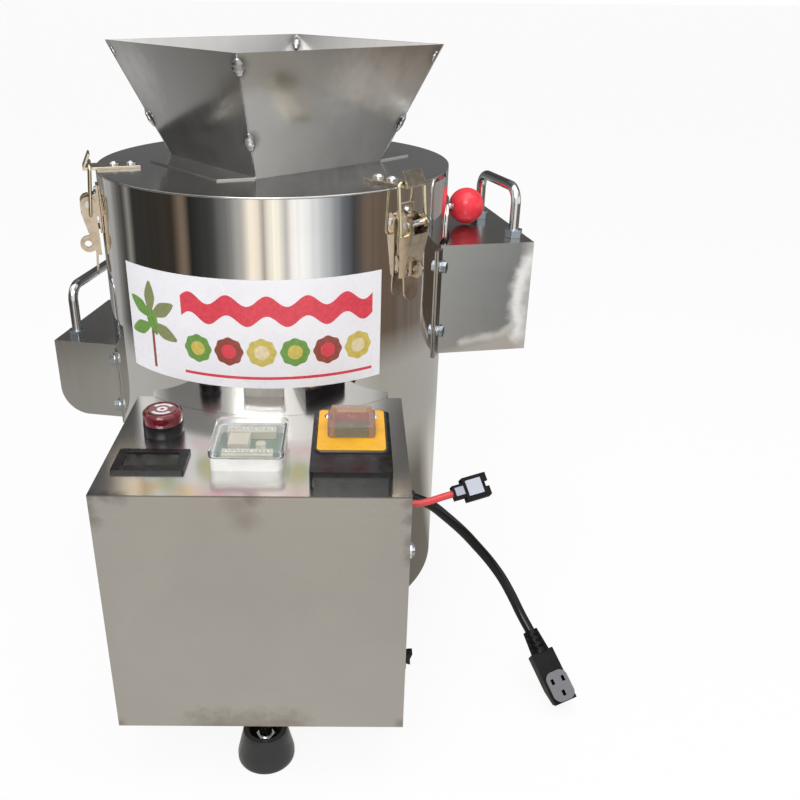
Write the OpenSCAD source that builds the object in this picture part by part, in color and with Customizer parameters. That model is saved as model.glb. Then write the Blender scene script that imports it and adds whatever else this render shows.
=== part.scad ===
// Chestnut peeling machine: a vertical peeling drum on three levelling feet, with a hopper on a latched lid,
// a gated kernel hood on the right, a shell hood on the left and a control box in front.
// Lengths are millimetres, angles are degrees, +Z is up and z = 0 is the floor.

/* [Drum] */
// outside diameter of the drum
drum_d = 280; // [220:5:340]
// sheet thickness of the drum
drum_wall = 1.5; // [1:0.25:3]
// height of the drum's lower edge above the floor
drum_base = 43; // [38:1:70]
// height of the drum shell
drum_h = 362.5; // [340:0.5:420]
// height of the chamber floor above the floor
floor_z = 188; // [180:1:192]
// height of the rotor plate above the floor
rotor_z = 254; // [250:1:256]

/* [Lid and hopper] */
// thickness of the lid
lid_t = 1.5; // [1:0.25:3]
// outside width of the hopper at the lid
hopper_low = 121; // [100:1:140]
// outside width of the hopper at its mouth
hopper_top = 187; // [150:1:220]
// height of the hopper
hopper_h = 88; // [60:1:120]
// sheet thickness of the hopper
hopper_wall = 1.2; // [0.8:0.1:2]
// turn of the hopper about the drum's axis
hopper_turn = 40; // [0:1:45]
// width of the hopper's front foot
hopper_flange = 26; // [10:1:30]
// width of the hopper's rear foot
hopper_rear_flange = 34.5; // [10:0.5:38]

/* [Latches] */
// direction of the first latch
latch_turn = -43.5; // [-48:0.5:-40]
// width of a latch lever
lever_w = 18; // [16:0.5:19]
// diameter of the bail wire
bail_d = 2.6; // [2:0.1:3]
// diameter of the lever's pivot pin
latch_pin_d = 5; // [4:0.5:6]
// width of a keeper strip
keeper_w = 20; // [16:1:22]

/* [Hoods] */
// backward turn of both hoods
hood_turn = 10; // [6:0.5:14]
// reach of the right hood from the drum's axis
hood_r_reach = 201.5; // [190:0.5:220]
// width of the right hood
hood_r_w = 131; // [124:1:136]
// height of the right hood's lower edge
hood_r_z = 257; // [254:1:262]
// height of the right hood
hood_r_h = 92; // [88:1:96]
// reach of the left hood from the drum's axis
hood_l_reach = 185; // [180:0.5:195]
// width of the left hood
hood_l_w = 110; // [104:1:116]
// height of the left hood's lower edge
hood_l_z = 190; // [188:1:194]
// height of the left hood
hood_l_h = 68; // [66:1:72]
// lower corner radius of the left hood
hood_l_round = 24; // [10:1:28]
// sheet thickness of the hoods
hood_wall = 1.5; // [1:0.25:2]
// diameter of the handle rod
handle_d = 8; // [6:0.5:9]
// height of the right handle above its hood
handle_r_h = 39.5; // [34:0.5:45]
// height of the left handle above its hood
handle_l_h = 44; // [40:1:55]
// bend radius of the handles
handle_bend = 12; // [9:0.5:14]

/* [Gate] */
// thickness of the gate plate
gate_t = 1.5; // [1:0.25:2]
// half the angle that the gate plate covers
gate_half = 22; // [21:0.5:23]
// diameter of the ball knob
knob_d = 30; // [25:1:32]

/* [Control box] */
// width of the control box
box_w = 204; // [200:1:208]
// height of the control box
box_h = 193; // [185:1:196]
// height of the control box top above the floor
box_top = 245.5; // [243:0.5:248]
// distance of the box front from the drum's axis
box_front = 253; // [250:1:260]
// distance of the box's rear edges from the drum's axis
box_rear = 107; // [105:1:112]
// sheet thickness of the box
box_wall = 1.5; // [1:0.25:2]
// length of the panel meter's bezel
meter_l = 48; // [46:0.5:50]
// width of the panel meter's bezel
meter_w = 30; // [28:0.5:32]
// diameter of the buzzer
buzzer_d = 28.5; // [26:0.5:30]
// width of the relay module
module_w = 48; // [44:1:50]
// depth of the relay module
module_l = 50; // [46:1:52]
// width of the switch housing
switch_w = 53.5; // [52:0.5:56]
// length of the switch housing
switch_l = 88; // [86:0.5:90]
// height of the switch housing
switch_h = 11; // [10:0.5:12]

/* [Drive] */
// diameter of the drive shaft
shaft_d = 16; // [12:1:18]
// outside diameter of the bearing
bearing_d = 40; // [36:1:42]
// radius of the rotor plate
rotor_r = 127; // [120:1:129]
// diameter of the gear motor
motor_d = 86; // [70:1:96]

/* [Feet] */
// diameter of a levelling foot
foot_d = 43; // [38:1:50]
// height of a levelling foot
foot_h = 27; // [24:1:30]
// diameter of a foot stud
stud_d = 10; // [8:1:12]

/* [Cords] */
// diameter of the charge lead
lead_d = 5; // [4:0.5:6]
// diameter of the power cable
cable_d = 8.2; // [7:0.2:9]

/* [Hidden] */
$fn = 64;
drum_r = drum_d / 2;
drum_in = drum_r - drum_wall;
rim_z = drum_base + drum_h;
lid_z = rim_z + lid_t;
slide_gap = 0.35;
seat_gap = 0.2;
run_gap = 0.05;
through = 400;
latch_turns = [latch_turn, latch_turn - 120, latch_turn + 120];
right_turn = hood_turn;
left_turn = 180 - hood_turn;
hood_r_top = hood_r_z + hood_r_h;
hood_l_top = hood_l_z + hood_l_h;

// latch points, as distance from the drum's axis and height
lever_axis = [drum_r + 8.5, lid_z - 26];
bail_axis = lever_axis - [1, 8];
bail_r = bail_d / 2;
bail_bend = 3;
keeper_t = 2;
keeper_in = drum_r - 33.5;
bar_at = [drum_r + 4, lid_z + keeper_t + 0.3 + bail_r];
lever_half = lever_w / 2;
lever_t = 1.5;
lever_in = lever_half - lever_t;
lever_round = 6;
web_top = lever_axis + [lever_round, -6];
web_low = lever_axis + [-2.1, -39];
lever_tip = lever_axis + [-0.6, -57.2];
tail_half = 7.5;
leg_t = lever_half + 3.5 + bail_r;
ear_t = 1.5;
ear_out = lever_in - slide_gap;
ear_r = 4.6;
base_low = lid_z - 49;
base_high = lid_z - 12;
base_rivets = [lid_z - 17, lid_z - 44];
eye_at = [drum_r + 11.3, lid_z - 58.5];
eye_r = 6.6;
eye_t = 2;

// extents of the assembly about the drum's axis, used to centre it over the origin
x_right = hood_r_reach * cos(hood_turn) + hood_r_w / 2 * sin(hood_turn);
x_left = hood_l_reach * cos(hood_turn) + hood_l_w / 2 * sin(hood_turn);
rear_latch = latch_turns[2];
y_rear = (eye_at[0] + eye_r) * sin(rear_latch) + eye_t / 2 * cos(rear_latch);
centre_x = (x_right - x_left) / 2;
centre_y = (y_rear - box_front) / 2;

// outlet windows in the drum
window_r_half = 46;
window_r_low = rotor_z + 8;
window_r_high = hood_r_top - 4;
window_l_half = 40;
window_l_low = floor_z + 6;
window_l_high = hood_l_top - 6;

// hood bolts, as the side angle from the hood's middle and two heights
bolt_r = 2.5;
flange_w = 13;
function flange_in(w) = asin((w / 2 - hood_wall) / drum_r);
function flange_out(w) = flange_in(w) + flange_w / drum_r * 180 / PI;
function bolt_side(w) = flange_out(w) - 6.5 / drum_r * 180 / PI;
hood_r_bolts = [hood_r_z + 22, hood_r_top - 16];
hood_l_bolts = [hood_l_z + 14, hood_l_top - 11];

// handle feet, as distance from the axis and sideways place
handle_r_feet = [[hood_r_reach - 19.5, 20], [hood_r_reach - 11.5, -47]];
handle_l_feet = [[hood_l_reach - 15.5, -42], [hood_l_reach - 15.5, 42]];
nut_h = 6.5;
nut_af = 13;
nut_r = nut_af / sqrt(3);

// gate
gate_in = drum_r + slide_gap;
gate_out = gate_in + gate_t;
guide_out = gate_out + slide_gap + 1.2;
gate_low = window_r_low - 4;
gate_high = hood_r_top + 30;
gate_corner = 26;
knob_at = [drum_r + 23, hood_r_top + 1 + knob_d / 2];
gate_stud_r = 3;

// control box fittings
box_half = box_w / 2;
box_low = box_top - box_h;
meter_at = [32 - box_half, 42 - box_front];
buzzer_at = [31.6 - box_half, 88 - box_front];
buzzer_base_h = 8.5;
buzzer_lens_h = 9;
module_at = [-5.5, 56 - box_front];
module_base_h = 9.5;
module_cover_h = 5.2;
switch_x = box_half - 38.5;
switch_front = 11.5 - box_front;
plate_z = box_top + switch_h;
plate_t = 1.5;
plate_top = plate_z + plate_t;
plate_w = 46;
plate_rear = switch_front + switch_l - 1;
plate_front = plate_rear - 60;
cover_w = 32.4;
cover_neck = 28.4;
cover_neck_l = 13;
cover_rear = plate_rear - 9.5;
cover_l = 34;
cover_front_l = 27;
cover_low = plate_top + 0.6;
cover_h = 8;
cover_t = 1.2;
cover_axis = [cover_rear - 2, cover_low + cover_h - 3.5];
cover_pin_r = 1;
button_w = 23;
button_l = 12.6;
button_round = 2;
button_red_y = cover_rear - 11;
button_green_y = cover_rear - 24.9;
button_top = cover_low + cover_h - cover_t - 2.5;
button_low = box_top + 3.9;
screw_x = 17;
screw_y = plate_rear - 10;
rocker_at = [21 - box_front, box_low + 47.5];
rocker_axis_x = box_half - 0.5;
rocker_tilt = 8;
side_screw_r = 3;
side_screw_l = 9;
screw_clear = 1;
rear_screw = -max(box_rear + 5, sqrt(pow(drum_r + screw_clear, 2) - pow(box_half - side_screw_l, 2)) + side_screw_r);
wire_hole = [box_low + 97.5, 15];
side_screws = [[21 - box_front, box_top - 54.5], [73 - box_front, box_low + 47.5], [rear_screw, box_top - 40.5],
    [rear_screw, box_low + 42.5]];
battery_l = 151;
battery_w = 65;
battery_h = 90;
battery_post = [8, 12, 5];

// drive
shaft_r = shaft_d / 2;
bearing_h = 12;
bearing_z = floor_z - 10;
housing_r = bearing_d / 2 + 6;
motor_low = drum_base + 14;
motor_top = floor_z - 23;
shaft_low = motor_top - 25;
hub_top = rotor_z + 16;

// feet, as places under the assembly and the height of the plate that each carries
feet = [[0, 24.5 - box_front, box_low], [76, 84, drum_base], [-76, 84, drum_base]];
foot_cup = 13;

// cord routes from the grommets outwards
lead_from = [box_half + 3, -203, 210];
boot_from = [box_half + 1, -124, 170.5];
boot_tilt = 25;
boot_l = 10;
boot_gap = 0.5;
cable_from = boot_from + (boot_l + boot_gap) * [cos(boot_tilt), 0, -sin(boot_tilt)];
lead_route = [lead_from, lead_from + [6.5, 0, 0], [119, -201.2, 211], [126.8, -198.6, 212.3], [134.5, -196.4, 213.6]];
plug_from = [215.9, -135.8, 42];
plug_turn = -62.6;
plug_tilt = 35;
plug_dir = [cos(plug_turn) * cos(plug_tilt), sin(plug_turn) * cos(plug_tilt), -sin(plug_tilt)];
cable_route = [cable_from, [127, -123, 159], [140.5, -121, 146.5], [156, -116.5, 129], [169.5, -112, 111],
    [181.5, -110, 95], [193, -111.5, 78.5], [202, -116.5, 63.5], [209, -125, 51.5], plug_from - 0.5 * plug_dir];

// shared shapes
module place() {
    translate([-centre_x, -centre_y, 0]) children();
}

module tube(r_out, r_in, h) {
    difference() {
        cylinder(r = r_out, h = h);
        translate([0, 0, -1]) cylinder(r = r_in, h = h + 2);
    }
}

module slab_rz(t0, t1) {
    translate([0, t1, 0]) rotate([90, 0, 0]) linear_extrude(t1 - t0) children();
}

module slab_tz(r0, r1) {
    translate([r0, 0, 0]) rotate([90, 0, 90]) linear_extrude(r1 - r0) children();
}

module sector(r0, r1, a0, a1) {
    far = 2 * r1;
    mid = (a0 + a1) / 2;
    intersection() {
        difference() {
            circle(r = r1);
            circle(r = r0);
        }
        polygon([[0, 0], far * [cos(a0), sin(a0)], far * [cos(mid), sin(mid)], far * [cos(a1), sin(a1)]]);
    }
}

module round_rect(w, l, r) {
    square([w - 2 * r, l], center = true);
    square([w, l - 2 * r], center = true);
    for (x = [-1, 1], y = [-1, 1]) translate([x * (w / 2 - r), y * (l / 2 - r)]) circle(r = r);
}

module slab(w, l, h, r) {
    linear_extrude(h) round_rect(w, l, r);
}

module pin_t(at, r, half) {
    translate([at[0], half, at[1]]) rotate([90, 0, 0]) cylinder(r = r, h = 2 * half);
}

module hex_nut(bore_r) {
    difference() {
        cylinder(r = nut_r, h = nut_h, $fn = 6);
        translate([0, 0, -1]) cylinder(r = bore_r, h = nut_h + 2);
    }
}

module at_latches() {
    for (a = latch_turns) rotate([0, 0, a]) children();
}

// control box
module control_box() {
    color([0.64, 0.62, 0.58]) place() difference() {
        translate([-box_half, -box_front, box_low]) cube([box_w, box_front - box_rear, box_h]);
        translate([-box_half + box_wall, -box_front + box_wall, box_low - 1])
            cube([box_w - 2 * box_wall, box_front, box_h - box_wall + 1]);
        translate([0, 0, box_low - 1]) cylinder(r = drum_r + seat_gap, h = box_h + 2);
        translate([meter_at[0], meter_at[1], box_top - 5]) slab(meter_l - 3, meter_w - 3, 10, 1);
        translate([buzzer_at[0], buzzer_at[1], box_top - 5]) cylinder(r = 11.2, h = 10);
        for (s = side_screws, d = [-1, 1])
            translate([d * (box_half - 5), s[0], s[1]]) rotate([0, d * 90, 0]) cylinder(r = 3.1, h = 10);
        translate([box_half - 5, lead_from[1], lead_from[2]]) rotate([0, 90, 0]) cylinder(r = 5.2, h = 10);
        translate([box_half - 5, boot_from[1], boot_from[2]]) rotate([0, 90, 0]) cylinder(r = 7.2, h = 10);
        translate([box_half - 5, rocker_at[0] - 4.4, rocker_at[1] - 6.8]) cube([10, 8.8, 13.6]);
    }
}

module box_bottom() {
    lip = 12;
    color([0.6, 0.58, 0.55]) place() difference() {
        translate([-box_half + box_wall, -box_front + box_wall, box_low])
            cube([box_w - 2 * box_wall, box_front - box_rear - box_wall - 6, lip]);
        translate([-box_half + 2 * box_wall, -box_front + 2 * box_wall, box_low + box_wall])
            cube([box_w - 4 * box_wall, box_front, lip]);
        translate([0, 0, box_low - 1]) cylinder(r = drum_r + 4, h = lip + 2);
        translate([feet[0][0], feet[0][1], box_low - 1]) cylinder(r = stud_d / 2 + run_gap, h = lip);
    }
}

module box_brackets() {
    leg = 2;
    meet = acos((box_half - box_wall - leg) / drum_r) + 0.1;
    color([0.6, 0.6, 0.6]) place() for (d = [0, 1]) mirror([d, 0, 0]) difference() {
        translate([0, 0, box_low + 18]) linear_extrude(box_h - 30) union() {
            sector(drum_r + run_gap, drum_r + run_gap + leg, -meet - 8.6, -meet);
            difference() {
                translate([box_half - box_wall - leg, rear_screw - 9]) square([leg, 26]);
                circle(r = drum_r + run_gap);
            }
        }
        for (s = [side_screws[2], side_screws[3]])
            translate([box_half - 8, s[0], s[1]]) rotate([0, 90, 0]) cylinder(r = 3.05, h = 10);
        translate([box_half - 8, boot_from[1], boot_from[2]]) rotate([0, 90, 0]) cylinder(r = 10, h = 10);
    }
}

module box_screws() {
    color([0.8, 0.8, 0.8]) place() for (s = side_screws, d = [-1, 1])
        translate([d * box_half, s[0], s[1]]) rotate([0, d * 90, 0]) {
            cylinder(r = 5.5, h = 2.4);
            translate([0, 0, 2.4]) cylinder(r1 = 5.5, r2 = 3.6, h = 2.2);
            translate([0, 0, -side_screw_l]) cylinder(r = side_screw_r, h = side_screw_l + 0.5);
        }
}

// drum, its plates and its lining
module outlet(turn, half, low, high) {
    rotate([0, 0, turn]) translate([drum_r - 25, -half, low]) cube([50, 2 * half, high - low]);
}

module bolt_holes(r) {
    for (d = [-1, 1]) {
        for (z = hood_r_bolts) rotate([0, 0, right_turn + d * bolt_side(hood_r_w)])
            translate([drum_r - 8, 0, z]) rotate([0, 90, 0]) cylinder(r = r, h = 16);
        for (z = hood_l_bolts) rotate([0, 0, left_turn + d * bolt_side(hood_l_w)])
            translate([drum_r - 8, 0, z]) rotate([0, 90, 0]) cylinder(r = r, h = 16);
    }
}

module drum() {
    color([0.75, 0.75, 0.75]) place() difference() {
        translate([0, 0, drum_base]) tube(drum_r, drum_in, drum_h);
        outlet(right_turn, window_r_half, window_r_low, window_r_high);
        outlet(left_turn, window_l_half, window_l_low, window_l_high);
        bolt_holes(bolt_r + run_gap);
        translate([0, -drum_r + 10, wire_hole[0]]) rotate([90, 0, 0]) cylinder(r = wire_hole[1], h = 20);
    }
}

module drum_bottom() {
    color([0.6, 0.6, 0.6]) place() difference() {
        translate([0, 0, drum_base]) cylinder(r = drum_in - seat_gap, h = 2);
        for (a = [22.5:45:359]) rotate([0, 0, a]) translate([58, 0, drum_base - 1]) cylinder(r = 7, h = 4);
        for (f = [feet[1], feet[2]]) translate([f[0], f[1], drum_base - 1]) cylinder(r = stud_d / 2 + run_gap, h = 4);
    }
}

module motor_posts(r, low, h) {
    for (a = [45:90:359]) rotate([0, 0, a]) translate([36, 0, low]) cylinder(r = r, h = h);
}

module chamber_floor() {
    color([0.6, 0.6, 0.6]) place() difference() {
        union() {
            translate([0, 0, floor_z]) cylinder(r = drum_in - seat_gap, h = 2);
            translate([0, 0, floor_z - 12]) tube(drum_in - seat_gap, drum_in - 2, 12);
        }
        translate([0, 0, floor_z - 1]) cylinder(r = housing_r + run_gap, h = 4);
    }
}

module wall_liner() {
    out = drum_in - seat_gap;
    color([0.25, 0.25, 0.26]) place() difference() {
        translate([0, 0, rotor_z + 10]) linear_extrude(rim_z - 22 - rotor_z - 10) {
            difference() {
                circle(r = out);
                circle(r = out - 3);
            }
            for (a = [15:30:359]) sector(out - 7, out - 2, a - 1.5, a + 1.5);
        }
        outlet(right_turn, window_r_half + 4, rotor_z, window_r_high + 4);
        bolt_holes(6.5);
    }
}

module hopper_frame() {
    translate([0, 6, lid_z]) rotate([0, 0, hopper_turn]) children();
}

module frustum(low, top, h) {
    a = low / 2;
    b = top / 2;
    polyhedron(points = [[-a, -a, 0], [a, -a, 0], [a, a, 0], [-a, a, 0], [-b, -b, h], [b, -b, h], [b, b, h], [-b, b, h]],
        faces = [[0, 1, 2, 3], [4, 7, 6, 5], [0, 4, 5, 1], [1, 5, 6, 2], [2, 6, 7, 3], [3, 7, 4, 0]]);
}

module lid() {
    color([0.62, 0.62, 0.62]) place() difference() {
        union() {
            translate([0, 0, rim_z]) cylinder(r = drum_r, h = lid_t);
            translate([0, 0, rim_z - 10]) tube(drum_in - 0.5, drum_in - 2, 10);
        }
        hopper_frame() cube([hopper_low - 2 * hopper_wall, hopper_low - 2 * hopper_wall, 10], center = true);
        at_latches() rivet_places() cylinder(r = 2 + run_gap, h = 20, center = true);
    }
}

module hopper_foot(half, reach, near_taper, far_taper) {
    linear_extrude(hopper_wall) polygon([[1 - half, -half], [1 - half, half], [-half - reach, half - far_taper],
        [-half - reach, near_taper - half]]);
}

module hopper() {
    slope = (hopper_top - hopper_low) / hopper_h;
    inset = 2 * hopper_wall * sqrt(1 + slope * slope / 4);
    foot_l = hopper_low / 2;
    color([0.66, 0.65, 0.62]) place() hopper_frame() union() {
        difference() {
            frustum(hopper_low, hopper_top, hopper_h);
            translate([0, 0, -1]) frustum(hopper_low - inset - slope, hopper_top - inset + slope, hopper_h + 2);
        }
        hopper_foot(foot_l, hopper_flange, 11, 11);
        mirror([1, 0, 0]) hopper_foot(foot_l, hopper_rear_flange, 4, 26);
    }
}

// latches
module rivet_places() {
    for (r = [drum_r - 27, drum_r - 14]) translate([r, 0, lid_z]) children();
}

module latch_bases() {
    ear_in = ear_out - ear_t;
    color([0.72, 0.62, 0.42]) place() at_latches() difference() {
        union() {
            translate([drum_r, -ear_out, base_low]) cube([ear_t, 2 * ear_out, base_high - base_low]);
            for (s = [[-ear_out, -ear_in], [ear_in, ear_out]]) slab_rz(s[0], s[1]) {
                translate(lever_axis) circle(r = ear_r);
                polygon([[drum_r + 0.5, lever_axis[1] + 9], lever_axis + [2, 4], lever_axis + [2, -4],
                    [drum_r + 0.5, lever_axis[1] - 11]]);
            }
        }
        pin_t(lever_axis, latch_pin_d / 2, lever_w);
        for (z = base_rivets) translate([drum_r - 1, 0, z]) rotate([0, 90, 0]) cylinder(r = 2, h = 5);
    }
}

module latch_pins() {
    color([0.75, 0.75, 0.75]) place() at_latches() {
        pin_t(lever_axis, latch_pin_d / 2, lever_half + 0.8);
        for (z = base_rivets) translate([drum_r + 0.1, 0, z]) rotate([0, 90, 0]) {
            cylinder(r = 2, h = ear_t);
            translate([0, 0, ear_t - 0.1]) cylinder(r1 = 3.6, r2 = 2.4, h = 2);
        }
    }
}

module keepers() {
    hook = drum_r + 9.3;
    hook_top = [drum_r + 4.4, lid_z + 12];
    color([0.76, 0.68, 0.46]) place() at_latches() difference() {
        slab_rz(-keeper_w / 2, keeper_w / 2) polygon([[keeper_in, lid_z], [hook, lid_z], [hook, lid_z + 1.6], hook_top,
            hook_top - [1.5, 0.7], [hook - 2, lid_z + keeper_t], [keeper_in, lid_z + keeper_t]]);
        rivet_places() cylinder(r = 2 + run_gap, h = 20, center = true);
    }
}

module keeper_rivets() {
    color([0.85, 0.85, 0.85]) place() at_latches() rivet_places() {
        translate([0, 0, -5]) cylinder(r = 2, h = 8);
        translate([0, 0, keeper_t]) cylinder(r = 4.2, h = 1.2);
        translate([0, 0, keeper_t + 1.2]) cylinder(r1 = 4.2, r2 = 2.4, h = 1.4);
    }
}

module latch_lever(turn) {
    slot_z = eye_at[1] - 6;
    color([0.78, 0.66, 0.46]) place() rotate([0, 0, turn]) difference() {
        union() {
            for (s = [[-lever_half, -lever_in], [lever_in, lever_half]]) slab_rz(s[0], s[1]) {
                translate(lever_axis) circle(r = lever_round);
                polygon([lever_axis + [-5.5, -2], lever_axis + [lever_round, 0], web_top + [0, 3], web_low,
                    web_low - [4, 1]]);
            }
            intersection() {
                slab_rz(-lever_half, lever_half) polygon([web_top, web_low, lever_tip, lever_tip - [lever_t, 0],
                    web_low - [lever_t, 0], web_top - [lever_t, 0]]);
                slab_tz(drum_r, drum_r + 30) {
                    translate([-lever_half, web_low[1]]) square([lever_w, 40]);
                    translate([-tail_half, lever_tip[1] + tail_half]) square([2 * tail_half, 30]);
                    translate([0, lever_tip[1] + tail_half]) circle(r = tail_half);
                }
            }
            slab_rz(-eye_t / 2, eye_t / 2) translate(eye_at) circle(r = eye_r);
        }
        pin_t(lever_axis, latch_pin_d / 2 + run_gap, through);
        pin_t(bail_axis, bail_r + run_gap, through);
        pin_t(eye_at + [0.6, 0], 2.7, 5);
        translate([eye_at[0] - 8, -6, slot_z]) cube([11, 6 - eye_t / 2 - 0.2, 12]);
    }
}

module bail_corner(turn) {
    rotate([90, 0, 90]) rotate([0, 0, turn]) rotate_extrude(angle = 90) translate([bail_bend, 0]) circle(r = bail_r);
}

module latch_bail(turn) {
    reach = bar_at - bail_axis;
    lean = atan2(-reach[0], reach[1]);
    leg_l = norm(reach);
    side = leg_t - bail_bend;
    pin_in = lever_in + 0.3;
    color([0.78, 0.72, 0.5]) place() rotate([0, 0, turn]) translate([bail_axis[0], 0, bail_axis[1]])
        rotate([0, -lean, 0]) union() {
            for (d = [0, 1]) mirror([0, d, 0]) {
                translate([0, leg_t, bail_bend]) cylinder(r = bail_r, h = leg_l - 2 * bail_bend);
                translate([0, side, bail_bend]) bail_corner(-90);
                translate([0, side, leg_l - bail_bend]) bail_corner(0);
                translate([0, pin_in, 0]) rotate([-90, 0, 0]) cylinder(r = bail_r, h = side - pin_in);
            }
            translate([0, -side, leg_l]) rotate([-90, 0, 0]) cylinder(r = bail_r, h = 2 * side);
        }
}

module latch_lever_a() latch_lever(latch_turns[0]);

module latch_lever_b() latch_lever(latch_turns[1]);

module latch_lever_c() latch_lever(latch_turns[2]);

module latch_bail_a() latch_bail(latch_turns[0]);

module latch_bail_b() latch_bail(latch_turns[1]);

module latch_bail_c() latch_bail(latch_turns[2]);

// hoods and handles
module hood_flanges(w, low, h) {
    a0 = flange_in(w);
    a1 = flange_out(w);
    translate([0, 0, low]) linear_extrude(h) {
        sector(drum_r + seat_gap, drum_r + seat_gap + hood_wall, a0, a1);
        sector(drum_r + seat_gap, drum_r + seat_gap + hood_wall, -a1, -a0);
    }
}

module handle_holes(places, top) {
    for (p = places) translate([p[0], p[1], top - 5]) cylinder(r = handle_d / 2 + 0.1, h = 10);
}

module right_hood() {
    color([0.6, 0.59, 0.56]) place() difference() {
        rotate([0, 0, right_turn]) {
            difference() {
                translate([drum_r - 40, -hood_r_w / 2, hood_r_z])
                    cube([hood_r_reach - drum_r + 40, hood_r_w, hood_r_h]);
                translate([0, -hood_r_w / 2 + hood_wall, hood_r_z - 1])
                    cube([hood_r_reach - hood_wall, hood_r_w - 2 * hood_wall, hood_r_h - hood_wall + 1]);
                cylinder(r = drum_r + seat_gap, h = through);
                translate([0, 0, hood_r_top - 10]) linear_extrude(20)
                    sector(1, guide_out + slide_gap, -gate_half - 4.5, gate_half + 4.5);
                handle_holes(handle_r_feet, hood_r_top);
            }
            hood_flanges(hood_r_w, hood_r_z, hood_r_h - 2);
        }
        bolt_holes(bolt_r + run_gap);
    }
}

module left_outline(inset) {
    far = hood_l_reach - inset;
    low = hood_l_z + inset;
    r = hood_l_round - inset;
    square_top = hood_l_top - inset;
    translate([0, low + r]) square([far, square_top - low - r]);
    translate([0, low]) square([far - r, r + 1]);
    translate([far - r, low + r]) circle(r = r);
}

module left_hood() {
    color([0.6, 0.59, 0.56]) place() difference() {
        rotate([0, 0, left_turn]) {
            difference() {
                slab_rz(-hood_l_w / 2, hood_l_w / 2) left_outline(0);
                slab_rz(-hood_l_w / 2 + hood_wall, hood_l_w / 2 - hood_wall) {
                    left_outline(hood_wall);
                    translate([0, hood_l_z - 5]) square([hood_l_reach - hood_l_round, hood_l_h]);
                }
                cylinder(r = drum_r + seat_gap, h = through);
                handle_holes(handle_l_feet, hood_l_top);
            }
            hood_flanges(hood_l_w, hood_l_z, hood_l_h - 2);
        }
        bolt_holes(bolt_r + run_gap);
    }
}

module hood_bolt() {
    head = drum_r + seat_gap + hood_wall;
    translate([drum_in - 6, 0, 0]) rotate([0, 90, 0]) cylinder(r = bolt_r, h = head - drum_in + 7);
    translate([head, 0, 0]) rotate([0, 90, 0]) cylinder(r = 5, h = 1);
    translate([head + 1, 0, 0]) rotate([0, 90, 0]) cylinder(r = 4.6, h = 4, $fn = 6);
    translate([drum_in - 5, 0, 0]) rotate([0, 90, 0]) cylinder(r = 4.6, h = 4, $fn = 6);
}

module hood_bolts() {
    color([0.82, 0.84, 0.86]) place() for (d = [-1, 1]) {
        for (z = hood_r_bolts) rotate([0, 0, right_turn + d * bolt_side(hood_r_w)]) translate([0, 0, z]) hood_bolt();
        for (z = hood_l_bolts) rotate([0, 0, left_turn + d * bolt_side(hood_l_w)]) translate([0, 0, z]) hood_bolt();
    }
}

module handle(places, top, h) {
    r = handle_d / 2;
    span = places[1] - places[0];
    length = norm(span);
    leg_low = top - hood_wall - nut_h - 3;
    leg_high = top + h - handle_bend;
    translate([places[0][0], places[0][1], 0]) rotate([0, 0, atan2(-span[0], span[1])]) {
        for (t = [0, length]) translate([0, t, leg_low]) cylinder(r = r, h = leg_high - leg_low);
        translate([0, length - handle_bend, top + h]) rotate([90, 0, 0]) cylinder(r = r, h = length - 2 * handle_bend);
        translate([0, handle_bend, leg_high]) rotate([0, -90, 0]) rotate([0, 0, -90])
            rotate_extrude(angle = 90) translate([handle_bend, 0]) circle(r = r);
        translate([0, length - handle_bend, leg_high]) rotate([0, -90, 0])
            rotate_extrude(angle = 90) translate([handle_bend, 0]) circle(r = r);
    }
}

module right_handle() {
    color([0.72, 0.72, 0.72]) place() rotate([0, 0, right_turn]) handle(handle_r_feet, hood_r_top, handle_r_h);
}

module left_handle() {
    color([0.72, 0.72, 0.72]) place() rotate([0, 0, left_turn]) handle(handle_l_feet, hood_l_top, handle_l_h);
}

module handle_nuts() {
    bore = handle_d / 2 + run_gap;
    color([0.8, 0.81, 0.82]) place() {
        for (p = handle_r_feet, z = [hood_r_top, hood_r_top - hood_wall - nut_h])
            rotate([0, 0, right_turn]) translate([p[0], p[1], z]) hex_nut(bore);
        for (p = handle_l_feet, z = [hood_l_top, hood_l_top - hood_wall - nut_h])
            rotate([0, 0, left_turn]) translate([p[0], p[1], z]) hex_nut(bore);
    }
}

// sliding gate
module gate_plate() {
    half = gate_out * sin(gate_half);
    color([0.68, 0.67, 0.65]) place() rotate([0, 0, right_turn]) difference() {
        intersection() {
            translate([0, 0, gate_low]) linear_extrude(gate_high - gate_low)
                sector(gate_in, gate_out, -gate_half, gate_half);
            slab_tz(drum_r - 40, drum_r + 20) {
                translate([-half - 1, gate_low - 1]) square([2 * half + 2, gate_high - gate_low - gate_corner + 1]);
                translate([-half + gate_corner, gate_low]) square([2 * (half - gate_corner), gate_high - gate_low]);
                for (d = [-1, 1]) translate([d * (half - gate_corner), gate_high - gate_corner])
                    circle(r = gate_corner);
            }
        }
        translate([drum_r - 5, 0, knob_at[1]]) rotate([0, 90, 0]) cylinder(r = gate_stud_r + run_gap, h = 20);
    }
}

module gate_guides() {
    edge = gate_half + slide_gap / drum_r * 180 / PI + 0.05;
    guide_low = hood_r_z + 2;
    color([0.65, 0.65, 0.65]) place() rotate([0, 0, right_turn]) {
        translate([0, 0, guide_low]) linear_extrude(hood_r_h - hood_wall - 4) for (d = [0, 1]) mirror([0, d]) {
            sector(drum_r, guide_out, edge, edge + 1.6);
            sector(gate_out + slide_gap, guide_out, gate_half - 1.2, edge + 1.6);
        }
        translate([0, 0, gate_low - 3]) linear_extrude(2.65) sector(drum_r, gate_out, -gate_half, gate_half);
    }
}

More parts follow.
